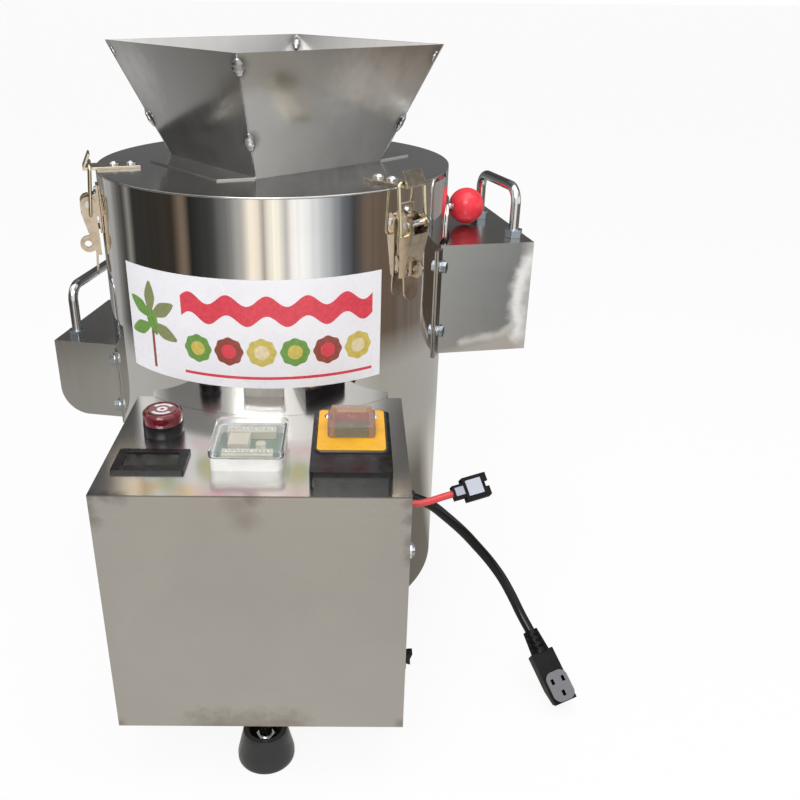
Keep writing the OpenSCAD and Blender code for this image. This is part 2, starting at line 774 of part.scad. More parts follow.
module gate_stud() {
    color([0.7, 0.7, 0.7]) place() rotate([0, 0, right_turn]) translate([gate_in, 0, knob_at[1]]) rotate([0, 90, 0]) {
        cylinder(r = gate_stud_r, h = knob_at[0] - gate_in);
        translate([0, 0, gate_t]) cylinder(r = 5.6, h = 3.2, $fn = 6);
    }
}

module gate_knob() {
    r = knob_d / 2;
    flat = r - 1.8;
    color([0.85, 0.1, 0.12]) place() rotate([0, 0, right_turn]) translate([knob_at[0], 0, knob_at[1]]) rotate([0, 90, 0])
        rotate_extrude() difference() {
            circle(r = r);
            translate([-2 * r, -2 * r]) square([2 * r, 4 * r]);
            translate([0, -2 * r]) square([2 * r, 2 * r - flat]);
            translate([-1, -2 * r]) square([1 + gate_stud_r + run_gap, 2 * r]);
        }
}

// rotor and drive
module rotor_plate() {
    color([0.62, 0.62, 0.62]) place() difference() {
        translate([0, 0, rotor_z]) cylinder(r = rotor_r, h = 4);
        translate([0, 0, rotor_z - 1]) cylinder(r = 18 + run_gap, h = 6);
        for (a = [30:60:359]) rotate([0, 0, a]) for (r = [60, 82, 104])
            translate([r, -9, rotor_z - 1]) cube([7, 18, 6]);
    }
}

module rotor_bars() {
    color([0.12, 0.12, 0.12]) place() for (a = [0:60:359]) rotate([0, 0, a])
        slab_tz(34, rotor_r - 5) {
            translate([-7, rotor_z + 4]) square([14, 5]);
            translate([0, rotor_z + 9]) circle(r = 5);
        }
}

module rotor_hub() {
    color([0.55, 0.55, 0.55]) place() difference() {
        union() {
            translate([0, 0, rotor_z - 20]) cylinder(r = 26, h = 20);
            translate([0, 0, rotor_z]) cylinder(r = 18, h = hub_top - rotor_z);
            translate([0, 0, floor_z + 12]) cylinder(r = 15, h = rotor_z - 20 - floor_z - 12);
            for (a = [0, 180]) rotate([0, 0, a]) translate([10, -3, floor_z + 6]) cube([drum_in - 18, 6, 22]);
        }
        translate([0, 0, floor_z]) cylinder(r = shaft_r + run_gap, h = through);
    }
}

module drive_shaft() {
    color([0.7, 0.7, 0.7]) place() translate([0, 0, shaft_low]) cylinder(r = shaft_r, h = hub_top - shaft_low);
}

module bearing_housing() {
    color([0.4, 0.42, 0.44]) place() difference() {
        union() {
            translate([0, 0, floor_z - 14]) cylinder(r = housing_r, h = 16);
            translate([0, 0, floor_z - 6]) cylinder(r = housing_r + 14, h = 6);
        }
        translate([0, 0, bearing_z]) cylinder(r = bearing_d / 2, h = bearing_h + 1);
        translate([0, 0, floor_z - 15]) cylinder(r = shaft_r + 2, h = 20);
        motor_posts(5 + run_gap, floor_z - 10, 20);
    }
}

module bearing() {
    color([0.75, 0.76, 0.78]) place() translate([0, 0, bearing_z])
        tube(bearing_d / 2, shaft_r + run_gap, bearing_h);
}

module motor() {
    color([0.2, 0.2, 0.22]) place() difference() {
        union() {
            translate([0, 0, motor_low]) cylinder(r = motor_d / 2, h = motor_top - motor_low - 22);
            translate([0, 0, motor_top - 22]) cylinder(r = motor_d / 2 + 3, h = 22);
            motor_posts(5, motor_top - 1, floor_z - motor_top + 1);
        }
        translate([0, 0, shaft_low - 1]) cylinder(r = shaft_r + run_gap, h = 60);
    }
}

module battery() {
    post_in = battery_l / 7;
    color([0.15, 0.16, 0.18]) place() translate([-battery_l / 2, 37 - box_front, box_low + box_wall]) {
        cube([battery_l, battery_w, battery_h]);
        for (x = [post_in, battery_l - post_in - battery_post[0]])
            translate([x, (battery_w - battery_post[1]) / 2, battery_h]) cube(battery_post);
    }
}

// fittings on the control box
module meter_bezel() {
    color([0.07, 0.07, 0.08]) place() translate([meter_at[0], meter_at[1], box_top]) difference() {
        union() {
            slab(meter_l, meter_w, 2.4, 1);
            translate([0, 0, -18]) slab(meter_l - 3.4, meter_w - 3.4, 19, 1);
        }
        translate([0, 1, 1]) slab(meter_l - 12, meter_w - 13, 5, 0.8);
    }
}

module meter_window() {
    color([0.12, 0.1, 0.1]) place() translate([meter_at[0], meter_at[1] + 1, box_top + 1])
        slab(meter_l - 12.2, meter_w - 13.2, 0.6, 0.8);
}

module buzzer_base() {
    color([0.06, 0.06, 0.06]) place() translate([buzzer_at[0], buzzer_at[1], box_top]) {
        cylinder(r = buzzer_d / 2, h = buzzer_base_h);
        translate([0, 0, -30]) cylinder(r = 11, h = 31);
        translate([0, 0, -9]) cylinder(r = 14, h = 9 - box_wall);
    }
}

module buzzer_lens() {
    color([0.6, 0.05, 0.08]) place() translate([buzzer_at[0], buzzer_at[1], box_top + buzzer_base_h]) difference() {
        union() {
            cylinder(r = buzzer_d / 2 - 0.3, h = buzzer_lens_h - 2);
            translate([0, 0, buzzer_lens_h - 2]) cylinder(r1 = buzzer_d / 2 - 0.3, r2 = buzzer_d / 2 - 2, h = 2);
        }
        translate([0, 0, buzzer_lens_h - 1]) tube(11.2, 10, 3);
    }
}

module at_module() {
    place() translate([module_at[0], module_at[1], box_top]) children();
}

module module_base() {
    color([0.9, 0.9, 0.88]) at_module() difference() {
        slab(module_w, module_l, module_base_h, 4);
        translate([0, 0, 2]) slab(module_w - 4, module_l - 4, module_base_h, 3);
    }
}

module module_board() {
    color([0.2, 0.45, 0.36]) at_module() translate([0, 0, 2]) {
        slab(module_w - 5, module_l - 5, 1.6, 2.4);
        for (y = [-1, 1]) translate([-17, y * (module_l / 2 - 9) - 4, 1.5]) cube([34, 8, 6]);
        translate([-14, -8, 1.5]) cube([14, 16, 7.5]);
        translate([8, -4, 1.5]) cylinder(r = 3.5, h = 6);
    }
}

module module_cover() {
    color([0.9, 0.93, 0.94]) at_module() difference() {
        translate([0, 0, module_base_h]) slab(module_w + 2, module_l + 2, module_cover_h, 5);
        translate([0, 0, module_base_h - 1]) slab(module_w - 2, module_l - 2, module_cover_h - 0.2, 3.4);
    }
}

module switch_housing() {
    color([0.08, 0.08, 0.09]) place() difference() {
        translate([switch_x, switch_front + switch_l / 2, box_top]) slab(switch_w, switch_l, switch_h, 3);
        translate([switch_x - 14, button_green_y - 11, box_top + 1]) cube([28, button_red_y - button_green_y + 22, switch_h]);
        for (d = [-1, 1]) translate([switch_x + d * screw_x, screw_y, plate_z - 7]) cylinder(r = 1.5, h = 20);
    }
}

module switch_plate() {
    lug_in = cover_neck / 2 - cover_t - 2.4;
    color([0.98, 0.74, 0.22]) place() difference() {
        union() {
            translate([switch_x, (plate_rear + plate_front) / 2, plate_z]) slab(plate_w, plate_rear - plate_front, plate_t, 3);
            for (d = [0, 1]) translate([switch_x, 0, 0]) mirror([d, 0, 0]) {
                translate([lug_in, cover_axis[0] - 2.2, plate_z]) cube([2, 3.6, cover_axis[1] + 1.7 - plate_z]);
                translate([lug_in, cover_axis[0], cover_axis[1]]) rotate([0, 90, 0])
                    cylinder(r = cover_pin_r, h = cover_neck / 2 - lug_in);
            }
        }
        for (y = [button_red_y, button_green_y]) translate([switch_x, y, plate_z - 1])
            slab(button_w + 0.8, button_l + 0.8, 4, button_round + 0.4);
        for (d = [-1, 1]) translate([switch_x + d * screw_x, screw_y, plate_z - 1]) cylinder(r = 1.6, h = 4);
    }
}

module cover_plan(inset) {
    front_mid = cover_rear - cover_l + cover_front_l / 2;
    open = inset > 0 ? 6 : 0;
    translate([switch_x, cover_rear - cover_neck_l / 2 + open / 2])
        round_rect(cover_neck - 2 * inset, cover_neck_l + open, 2.5 - inset);
    translate([switch_x, front_mid]) round_rect(cover_w - 2 * inset, cover_front_l - 2 * inset, 3 - inset);
}

module switch_cover() {
    color([0.72, 0.66, 0.62]) place() difference() {
        translate([0, 0, cover_low]) linear_extrude(cover_h) cover_plan(0);
        translate([0, 0, cover_low - 1]) linear_extrude(cover_h - cover_t + 1) cover_plan(cover_t);
        translate([switch_x - cover_w, cover_axis[0], cover_low - 1]) cube([2 * cover_w, 10, 2.6]);
        translate([switch_x - cover_w, cover_axis[0], cover_axis[1]]) rotate([0, 90, 0])
            cylinder(r = cover_pin_r + run_gap, h = 2 * cover_w);
    }
}

module push_button(y) {
    place() translate([switch_x, y, button_low]) slab(button_w, button_l, button_top - button_low, button_round);
}

module switch_off_button() {
    color([0.75, 0.16, 0.16]) push_button(button_red_y);
}

module switch_on_button() {
    color([0.2, 0.5, 0.26]) push_button(button_green_y);
}

module switch_screws() {
    color([0.8, 0.8, 0.8]) place() for (d = [-1, 1]) translate([switch_x + d * screw_x, screw_y, plate_top]) {
        cylinder(r1 = 2.4, r2 = 1.7, h = 1.3);
        translate([0, 0, -6]) cylinder(r = 1.5, h = 6.5);
    }
}

module rocker_bezel() {
    color([0.06, 0.06, 0.06]) place() translate([box_half, rocker_at[0], rocker_at[1]]) difference() {
        union() {
            translate([0, -5.3, -7.7]) cube([1.6, 10.6, 15.4]);
            translate([-14, -4.3, -6.7]) cube([15, 8.6, 13.4]);
        }
        translate([-8, -3.5, -5.9]) cube([20, 7, 11.8]);
        translate([-0.5, -10, 0]) rotate([-90, 0, 0]) cylinder(r = 1, h = 20);
    }
}

module rocker() {
    color([0.1, 0.1, 0.1]) place() translate([rocker_axis_x, rocker_at[0], rocker_at[1]]) {
        rotate([0, rocker_tilt, 0]) slab_rz(-3.1, 3.1)
            polygon([[-3, -2.5], [-3, 2.5], [4.6, 4.7], [6, 4.7], [5, 0], [6, -4.7], [4.6, -4.7]]);
        translate([0, -4.2, 0]) rotate([-90, 0, 0]) cylinder(r = 0.95, h = 8.4);
    }
}

// cords, their grommets, connector and plug
module grommet(at, r) {
    translate([box_half, at[1], at[2]]) rotate([0, 90, 0]) {
        cylinder(r = r + 2.5, h = 3);
        translate([0, 0, -box_wall - 0.2]) cylinder(r = r, h = 2);
        translate([0, 0, -box_wall - 2.2]) cylinder(r = r + 1.6, h = 2.2 - seat_gap);
    }
}

module cord_grommets() {
    color([0.05, 0.05, 0.05]) place() {
        grommet(lead_from, 5);
        grommet(boot_from, 7);
        translate(boot_from) rotate([0, 90 + boot_tilt, 0]) cylinder(r1 = 6.4, r2 = 5.2, h = boot_l);
    }
}

function unit(v) = v / norm(v);
function route_dir(p, i) = i == 0 ? unit(p[1] - p[0]) :
    i == len(p) - 1 ? unit(p[i] - p[i - 1]) : unit(unit(p[i + 1] - p[i]) + unit(p[i] - p[i - 1]));
function side_dir(d) = unit(cross([0, 1, 0], d));
function ring_at(p, i, r, n) = let(d = route_dir(p, i), u = side_dir(d), v = cross(d, u))
    [for (k = [0:n - 1]) p[i] + r * (cos(360 * k / n) * u + sin(360 * k / n) * v)];

module swept_cord(p, r, n) {
    rings = len(p);
    last = (rings - 1) * n;
    points = [for (i = [0:rings - 1]) each ring_at(p, i, r, n)];
    sides = [for (i = [0:rings - 2], k = [0:n - 1]) each
        [[i * n + k, (i + 1) * n + k, i * n + (k + 1) % n],
         [i * n + (k + 1) % n, (i + 1) * n + k, (i + 1) * n + (k + 1) % n]]];
    caps = [[for (k = [0:n - 1]) k], [for (k = [n - 1:-1:0]) last + k]];
    polyhedron(points = points, faces = concat(sides, caps));
}

module charge_lead() {
    color([0.85, 0.2, 0.22]) place() swept_cord(lead_route, lead_d / 2, 10);
}

module power_cable() {
    color([0.06, 0.06, 0.06]) place() swept_cord(cable_route, cable_d / 2, 12);
}

module along(from, d) {
    turn = atan2(d[1], d[0]);
    tilt = -asin(d[2] / norm(d));
    translate(from) rotate([0, tilt, turn]) children();
}

// two part connector, its broad face rolled towards the front, with a raised pad, an open end and a keyway
module charge_connector() {
    last = len(lead_route) - 1;
    end_dir = lead_route[last] - lead_route[last - 1];
    color([0.06, 0.06, 0.06]) place() along(lead_route[last], end_dir) rotate([45, 0, 0]) difference() {
        union() {
            translate([0, -5, -3.5]) cube([9, 10, 7]);
            translate([1.5, -3, 3]) cube([6.5, 6, 1.2]);
            translate([8, -8.25, -4.5]) cube([18, 16.5, 9]);
            translate([10, -5.5, 4]) cube([11, 11, 1.7]);
        }
        translate([16, -6.75, -3]) cube([12, 13.5, 6]);
        translate([22, -1.8, 1]) cube([8, 3.6, 6]);
    }
}

// appliance plug with a grooved strain relief and a raised face that carries three slots
module cable_plug() {
    color([0.06, 0.06, 0.06]) place() along(plug_from, plug_dir) rotate([18, 0, 0]) difference() {
        union() {
            rotate([0, 90, 0]) cylinder(r1 = 6.3, r2 = 8, h = 20);
            translate([19, -9.75, -8]) cube([22, 19.5, 14.5]);
            slab_rz(-9.75, 9.75) polygon([[40, -8], [48, -8], [60, -1], [62, 6.5], [40, 6.5]]);
            translate([49.5, 0, 6]) slab(24, 18, 7, 6);
        }
        for (x = [4, 9, 14]) translate([x, 0, 0]) rotate([0, 90, 0]) difference() {
            cylinder(r = 12, h = 2.2);
            translate([0, 0, -1]) cylinder(r = 4.7, h = 5);
            translate([-1.8, -15, -1]) cube([3.6, 30, 5]);
        }
        for (p = [[45, -4.6], [45, 4.6], [55.5, 0]]) translate([p[0] - 2.2, p[1] - 1.3, 4]) cube([4.4, 2.6, 12]);
    }
}

// feet
module levelling_feet() {
    color([0.06, 0.06, 0.06]) place() for (f = feet) translate([f[0], f[1], 0]) difference() {
        union() {
            cylinder(r = foot_d / 2 - 1, h = 1);
            translate([0, 0, 1]) cylinder(r = foot_d / 2, h = 4);
            translate([0, 0, 5]) cylinder(r1 = foot_d / 2, r2 = foot_d / 2 - 5, h = foot_h - 5);
        }
        translate([0, 0, foot_cup]) cylinder(r1 = 11, r2 = foot_d / 2 - 7.5, h = foot_h);
    }
}

module foot_studs() {
    color([0.78, 0.79, 0.8]) place() for (f = feet) translate([f[0], f[1], 0]) {
        translate([0, 0, foot_cup]) cylinder(r = 7, h = 8, $fn = 6);
        translate([0, 0, foot_cup + 7]) cylinder(r = stud_d / 2, h = f[2] - foot_cup + 8);
        translate([0, 0, f[2] - nut_h]) cylinder(r = 9, h = nut_h, $fn = 6);
    }
}

control_box();
box_bottom();
box_brackets();
box_screws();
drum();
drum_bottom();
chamber_floor();
wall_liner();
lid();
hopper();
latch_bases();
latch_pins();
keepers();
keeper_rivets();
latch_lever_a();
latch_lever_b();
latch_lever_c();
latch_bail_a();
latch_bail_b();
latch_bail_c();
right_hood();
left_hood();
hood_bolts();
right_handle();
left_handle();
handle_nuts();
gate_plate();
gate_guides();
gate_stud();
gate_knob();
rotor_plate();
rotor_bars();
rotor_hub();
drive_shaft();
bearing_housing();
bearing();
motor();
battery();
meter_bezel();
meter_window();
buzzer_base();
buzzer_lens();
module_base();
module_board();
module_cover();
switch_housing();
switch_plate();
switch_cover();
switch_on_button();
switch_off_button();
switch_screws();
rocker_bezel();
rocker();
cord_grommets();
charge_lead();
charge_connector();
power_cable();
cable_plug();
levelling_feet();
foot_studs();
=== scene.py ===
import math

import bpy
from mathutils import Euler, Matrix, Vector


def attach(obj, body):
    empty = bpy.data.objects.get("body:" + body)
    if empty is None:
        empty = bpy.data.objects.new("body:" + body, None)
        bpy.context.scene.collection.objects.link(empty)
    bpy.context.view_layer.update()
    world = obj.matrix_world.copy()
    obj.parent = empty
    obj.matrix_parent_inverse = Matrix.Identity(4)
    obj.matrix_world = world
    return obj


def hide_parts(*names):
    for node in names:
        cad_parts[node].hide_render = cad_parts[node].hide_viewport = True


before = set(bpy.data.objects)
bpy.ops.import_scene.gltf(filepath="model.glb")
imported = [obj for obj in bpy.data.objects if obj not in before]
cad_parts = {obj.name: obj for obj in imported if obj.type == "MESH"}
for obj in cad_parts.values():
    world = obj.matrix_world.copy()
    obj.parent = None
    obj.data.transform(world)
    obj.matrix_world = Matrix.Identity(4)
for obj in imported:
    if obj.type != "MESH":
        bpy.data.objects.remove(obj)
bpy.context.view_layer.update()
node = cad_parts

# Camera: a phone held above the front of the machine, a little to the right of the drum's middle
# and tipped down, so that the lid, the box top and the box front all show.
MM = 0.001
DRUM_X, DRUM_Y = -9.03632 * MM, 49.61467 * MM


def at(x, y, z):
    """A point given in millimetres from the drum's axis and the floor, in the row frame."""
    return Vector((x * MM + DRUM_X, y * MM + DRUM_Y, z * MM))


PHOTO_W, FOCAL, MIDDLE_X = 800, 871.44, 354.6  # pixels
SENSOR_W = 36
camera_place = at(63.3, -719.2, 533.1)
camera = bpy.data.objects.new("camera", bpy.data.cameras.new("camera"))
bpy.context.scene.collection.objects.link(camera)
yaw, pitch, roll = math.radians(0.23), math.radians(25.31), math.radians(0.51)
ahead = Vector((math.sin(yaw) * math.cos(pitch), math.cos(yaw) * math.cos(pitch), -math.sin(pitch)))
right = Vector((math.cos(yaw), -math.sin(yaw), 0))
above = right.cross(ahead)
across = right * math.cos(roll) + above * math.sin(roll)
upward = above * math.cos(roll) - right * math.sin(roll)
camera_turn = Matrix((across, upward, -ahead)).transposed().to_4x4()
camera.matrix_world = Matrix.Translation(camera_place) @ camera_turn
camera.data.sensor_width = SENSOR_W
camera.data.lens = FOCAL / PHOTO_W * SENSOR_W
camera.data.shift_x = (PHOTO_W / 2 - MIDDLE_X) / PHOTO_W
camera.data.clip_start = 0.02
bpy.context.scene.camera = camera

# Levelling feet: moulded black rubber cups with a fine grain. Each is held by a bright zinc stud with a hex
# collar, screwed up into the plate above it.


def plain(material, socket, value):
    """Sets what is the same all over a surface."""
    material.node_tree.nodes["Principled BSDF"].inputs[socket].default_value = value


def finish(name, colour, metallic=0.0, rough=0.5):
    """A named surface with its plain colour; texture is added to it by the functions below."""
    material = bpy.data.materials.new(name)
    material.use_nodes = True
    plain(material, "Base Color", (*colour, 1))
    plain(material, "Metallic", metallic)
    plain(material, "Roughness", rough)
    return material


def noise(material, scale, stretch=(1, 1, 1), detail=4.0, distort=0.0):
    """Noise over the machine, in cycles per metre along each axis."""
    tree = material.node_tree
    place = tree.nodes.new("ShaderNodeTexCoord")
    fit = tree.nodes.new("ShaderNodeMapping")
    fit.inputs["Scale"].default_value = [scale * s for s in stretch]
    grain = tree.nodes.new("ShaderNodeTexNoise")
    grain.inputs["Scale"].default_value = 1.0
    grain.inputs["Detail"].default_value = detail
    grain.inputs["Roughness"].default_value = 0.55
    grain.inputs["Distortion"].default_value = distort
    tree.links.new(place.outputs["Object"], fit.inputs["Vector"])
    tree.links.new(fit.outputs["Vector"], grain.inputs["Vector"])
    return grain.outputs["Fac"]


def ramp(material, value, stops):
    """Colours or grey levels along a 0 to 1 value."""
    bands = material.node_tree.nodes.new("ShaderNodeValToRGB")
    steps = bands.color_ramp.elements
    while len(steps) < len(stops):
        steps.new(0.5)
    for step, (place, colour) in zip(steps, stops):
        step.position = place
        step.color = (*colour, 1) if isinstance(colour, tuple) else (colour, colour, colour, 1)
    material.node_tree.links.new(value, bands.inputs["Fac"])
    return bands.outputs["Color"]


def wire(material, value, socket):
    """Lets a texture drive one of the surface's inputs."""
    material.node_tree.links.new(value, material.node_tree.nodes["Principled BSDF"].inputs[socket])
    return material


def bump(material, value, strength, depth=0.0001):
    """Raises the surface by a texture, over a depth in metres."""
    relief = material.node_tree.nodes.new("ShaderNodeBump")
    relief.inputs["Strength"].default_value = strength
    relief.inputs["Distance"].default_value = depth
    material.node_tree.links.new(value, relief.inputs["Height"])
    return wire(material, relief.outputs["Normal"], "Normal")


def shaded(colour, share):
    """The colour made darker or lighter."""
    return tuple(min(1, c * share) for c in colour)


def moulded(name, colour, rough=0.45, spread=0.12, grain=2600, relief=0.12):
    """Moulded plastic or rubber: fine grain, small differences of colour and of gloss."""
    material = finish(name, colour, 0.0, rough)
    tones = [(0.3, shaded(colour, 0.86)), (0.7, shaded(colour, 1.12))]
    wire(material, ramp(material, noise(material, 55, detail=5), tones), "Base Color")
    glosses = [(0.3, max(0.05, rough - spread)), (0.75, rough + spread)]
    wire(material, ramp(material, noise(material, 140, detail=6), glosses), "Roughness")
    return bump(material, noise(material, grain, detail=2), relief)


def metal(name, colour, rough, grain, stretch, relief, smear=0.1, dirt=0.85):
    """Metal with drawn or brushed grain, uneven gloss and faint smears."""
    material = finish(name, colour, 1.0, rough)
    patches = noise(material, 14, detail=6, distort=0.6)
    wire(material, ramp(material, patches, [(0.25, shaded(colour, dirt)), (0.6, colour)]), "Base Color")
    lines = noise(material, grain, stretch, detail=3)
    tree = material.node_tree
    uneven = tree.nodes.new("ShaderNodeMix")
    uneven.inputs[0].default_value = 0.5
    tree.links.new(patches, uneven.inputs[2])
    tree.links.new(lines, uneven.inputs[3])
    glosses = [(0.3, max(0.03, rough - smear)), (0.7, rough + smear)]
    wire(material, ramp(material, uneven.outputs[0], glosses), "Roughness")
    return bump(material, lines, relief)


def dress(material, *names):
    """Gives CAD nodes their surface."""
    for name in names:
        node[name].data.materials.clear()
        node[name].data.materials.append(material)


def soften(width, *names):
    """Breaks the sharp edges of CAD nodes by a small rounded bevel."""
    for name in names:
        joined = node[name].modifiers.new("joined", "WELD")
        joined.merge_threshold = 0.00001
        edge = node[name].modifiers.new("edge", "BEVEL")
        edge.width = width * MM
        edge.segments = 3
        edge.limit_method = "ANGLE"
        edge.angle_limit = math.radians(40)
        edge.harden_normals = True


foot_rubber = moulded("foot_rubber", (0.02, 0.021, 0.023), rough=0.34, spread=0.12, grain=700, relief=0.2)
dress(foot_rubber, "levelling_feet")
soften(1.2, "levelling_feet")
bright_zinc = metal("bright_zinc", (0.74, 0.77, 0.81), rough=0.2, grain=900, stretch=(1, 1, 1), relief=0.06)
dress(bright_zinc, "foot_studs")
soften(0.3, "foot_studs")

# Drum: a rolled shell of mirror polished steel, slightly wavy from the rolls, with a bottom plate, a chamber
# floor and a ribbed rubber lining pressed in above it.
drum_mirror = metal("drum_mirror", (0.80, 0.79, 0.77), rough=0.045, grain=800, stretch=(1, 1, 0.02),
                    relief=0.02, smear=0.02, dirt=0.95)
dress(drum_mirror, "drum")
mill_steel = metal("mill_steel", (0.5, 0.5, 0.49), rough=0.36, grain=420, stretch=(1, 0.1, 1), relief=0.1)
dress(mill_steel, "drum_bottom", "chamber_floor")
liner_rubber = moulded("liner_rubber", (0.03, 0.03, 0.032), rough=0.62, spread=0.12)
dress(liner_rubber, "wall_liner")

# Drum label: a white vinyl sheet stuck round the front of the drum, printed with a spray of leaves, a red
# ribbon and a row of two-tone discs. It lies flat on the steel and follows its curve.
LABEL_LEFT, LABEL_W = math.radians(-138), 207.7
LABEL_LOW, LABEL_H = 268, 82
DRUM_R = 140


def on_label(along, up, lift):
    """A point on the sheet, in millimetres from its lower left corner, lifted off the drum."""
    a = LABEL_LEFT + along / DRUM_R
    return at((DRUM_R + lift) * math.cos(a), (DRUM_R + lift) * math.sin(a), LABEL_LOW + up)


def made(name, verts, faces, material, smooth=False):
    """A mesh object from vertices in the row frame."""
    mesh = bpy.data.meshes.new(name)
    mesh.from_pydata([tuple(v) for v in verts], [], faces)
    mesh.validate()
    mesh.materials.append(material)
    for polygon in mesh.polygons:
        polygon.use_smooth = smooth
    piece = bpy.data.objects.new(name, mesh)
    bpy.context.scene.collection.objects.link(piece)
    return piece


def fixed(piece, body="machine"):
    """The piece moves with that body."""
    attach(piece, body)
    return piece


def strip(columns):
    """Faces between neighbouring columns of vertices."""
    faces, start = [], 0
    for a, b in zip(columns, columns[1:]):
        faces += [(start + k, start + a + k, start + a + k + 1, start + k + 1) for k in range(b - 1)]
        start += a
    return faces


def band(name, print_ink, start, end, middle, half, lift=0.24, sway=0.0, waves=0):
    """A printed ribbon along the sheet; it may sway up and down in waves."""
    verts, count = [], 72
    for i in range(count + 1):
        s = i / count
        rise = middle + sway * math.sin(2 * math.pi * waves * s)
        along = start + (end - start) * s
        verts += [on_label(along, rise + half * k, lift) for k in (-1, -0.33, 0.33, 1)]
    return fixed(made(name, verts, strip([4] * (count + 1)), print_ink, True))


def motif(name, print_ink, along, up, reach, lift=0.24):
    """A printed shape; reach gives its outline's distance from its middle in each direction."""
    spokes, rings = 40, 5
    verts = [on_label(along, up, lift)]
    for ring in range(1, rings + 1):
        for k in range(spokes):
            a = 2 * math.pi * k / spokes
            r = reach(a) * ring / rings
            verts.append(on_label(along + r * math.cos(a), up + r * math.sin(a), lift))
    faces = [(0, 1 + k, 1 + (k + 1) % spokes) for k in range(spokes)]
    for ring in range(rings - 1):
        low, high = 1 + ring * spokes, 1 + (ring + 1) * spokes
        faces += [(low + k, high + k, high + (k + 1) % spokes, low + (k + 1) % spokes)
                  for k in range(spokes)]
    return fixed(made(name, verts, faces, print_ink, True))


def leaf(turn, length, width):
    """The outline of a pointed leaf that lies in one direction."""
    point = 1.35

    def reach(a):
        lengthwise, crosswise = abs(math.cos(a - turn)) / length, abs(math.sin(a - turn)) / width
        return (lengthwise ** point + crosswise ** point) ** -0.74
    return reach


def film(name, colour, mottle, tones):
    """A printed or plain sheet under a clear film: a little mottled, glossy."""
    material = finish(name, colour, rough=0.3)
    wire(material, ramp(material, noise(material, mottle, detail=6), tones), "Base Color")
    gloss = ramp(material, noise(material, 60, detail=5), [(0.3, 0.2), (0.75, 0.36)])
    return wire(material, gloss, "Roughness")


def ink(name, colour):
    """Printing ink under the film."""
    return film(name, colour, 320, [(0.32, shaded(colour, 0.88)), (0.68, shaded(colour, 1.12))])


vinyl_tones = [(0.3, (0.86, 0.85, 0.89)), (0.7, (0.90, 0.89, 0.93))]
vinyl_white = film("vinyl_white", (0.88, 0.87, 0.91), 30, vinyl_tones)
sheet_columns = 72
sheet_verts = []
for i in range(sheet_columns + 1):
    along = LABEL_W * i / sheet_columns
    sheet_verts += [on_label(along, 0, 0.02)] + [on_label(along, LABEL_H * k / 4, 0.2) for k in range(5)]
    sheet_verts += [on_label(along, LABEL_H, 0.02)]
sheet_faces = strip([7] * (sheet_columns + 1))
fixed(made("label_sheet", sheet_verts, sheet_faces, vinyl_white))
ink_red = ink("ink_red", (0.72, 0.06, 0.09))
ink_green = ink("ink_green", (0.16, 0.33, 0.07))
ink_olive = ink("ink_olive", (0.25, 0.27, 0.12))
ink_brown = ink("ink_brown", (0.30, 0.07, 0.05))
ink_ochre = ink("ink_ochre", (0.62, 0.5, 0.11))
ink_cream = ink("ink_cream", (0.78, 0.66, 0.42))
spray = [(26, 60, 1.5), (15, 51, 2.6), (38, 52, 0.5), (14, 34, 3.5), (39, 35, -0.4), (27, 43, 1.9)]
for i, (along, up, turn) in enumerate(spray):
    motif(f"label_leaf_{i}", (ink_olive, ink_green)[i % 2], along, up, leaf(turn, 13, 5.5))
band("label_stem", ink_brown, start=25.6, end=28.2, middle=20, half=15, lift=0.22)
print_from, print_to = 56, 200
band("label_ribbon", ink_red, print_from, print_to, middle=59, half=7.5, sway=4, waves=5)
band("label_line", ink_red, print_from, print_to, middle=8, half=1.1)
disc_from, disc_step, disc_up = 68, 24, 28
disc_inks = [(ink_green, ink_ochre), (ink_brown, ink_red), (ink_ochre, ink_cream)]
for i in range(6):
    outer, inner = disc_inks[i % 3]
    along = disc_from + disc_step * i
    motif(f"label_disc_{i}", outer, along, disc_up, lambda a: 10.5 + 0.5 * math.cos(8 * a))
    motif(f"label_core_{i}", inner, along, disc_up, lambda a: 5.5, lift=0.27)

# Drive: a gear motor under the chamber floor turns a slotted steel plate with rubber peeling bars
# through a shaft that runs in a flanged ball bearing.
motor_paint = moulded("motor_paint", (0.03, 0.031, 0.034), rough=0.4, spread=0.1)
dress(motor_paint, "motor")
casting = moulded("casting_grey", (0.16, 0.17, 0.18), rough=0.6, spread=0.12, grain=500, relief=0.3)
dress(casting, "bearing_housing")
rotor_steel = metal("rotor_steel", (0.55, 0.55, 0.54), rough=0.3, grain=420, stretch=(1, 1, 1), relief=0.1)
dress(rotor_steel, "rotor_plate", "rotor_hub", "drive_shaft", "bearing")
bar_rubber = moulded("bar_rubber", (0.02, 0.02, 0.02), rough=0.6, spread=0.12)
dress(bar_rubber, "rotor_bars")
soften(1.0, "rotor_bars")

# Control box: folded sheet steel with a satin face. Its seams are welded and ground off, which leaves dark
# smudges at the corners and at the middle of the edges. A pan closes it below, and two angles join it to
# the drum.


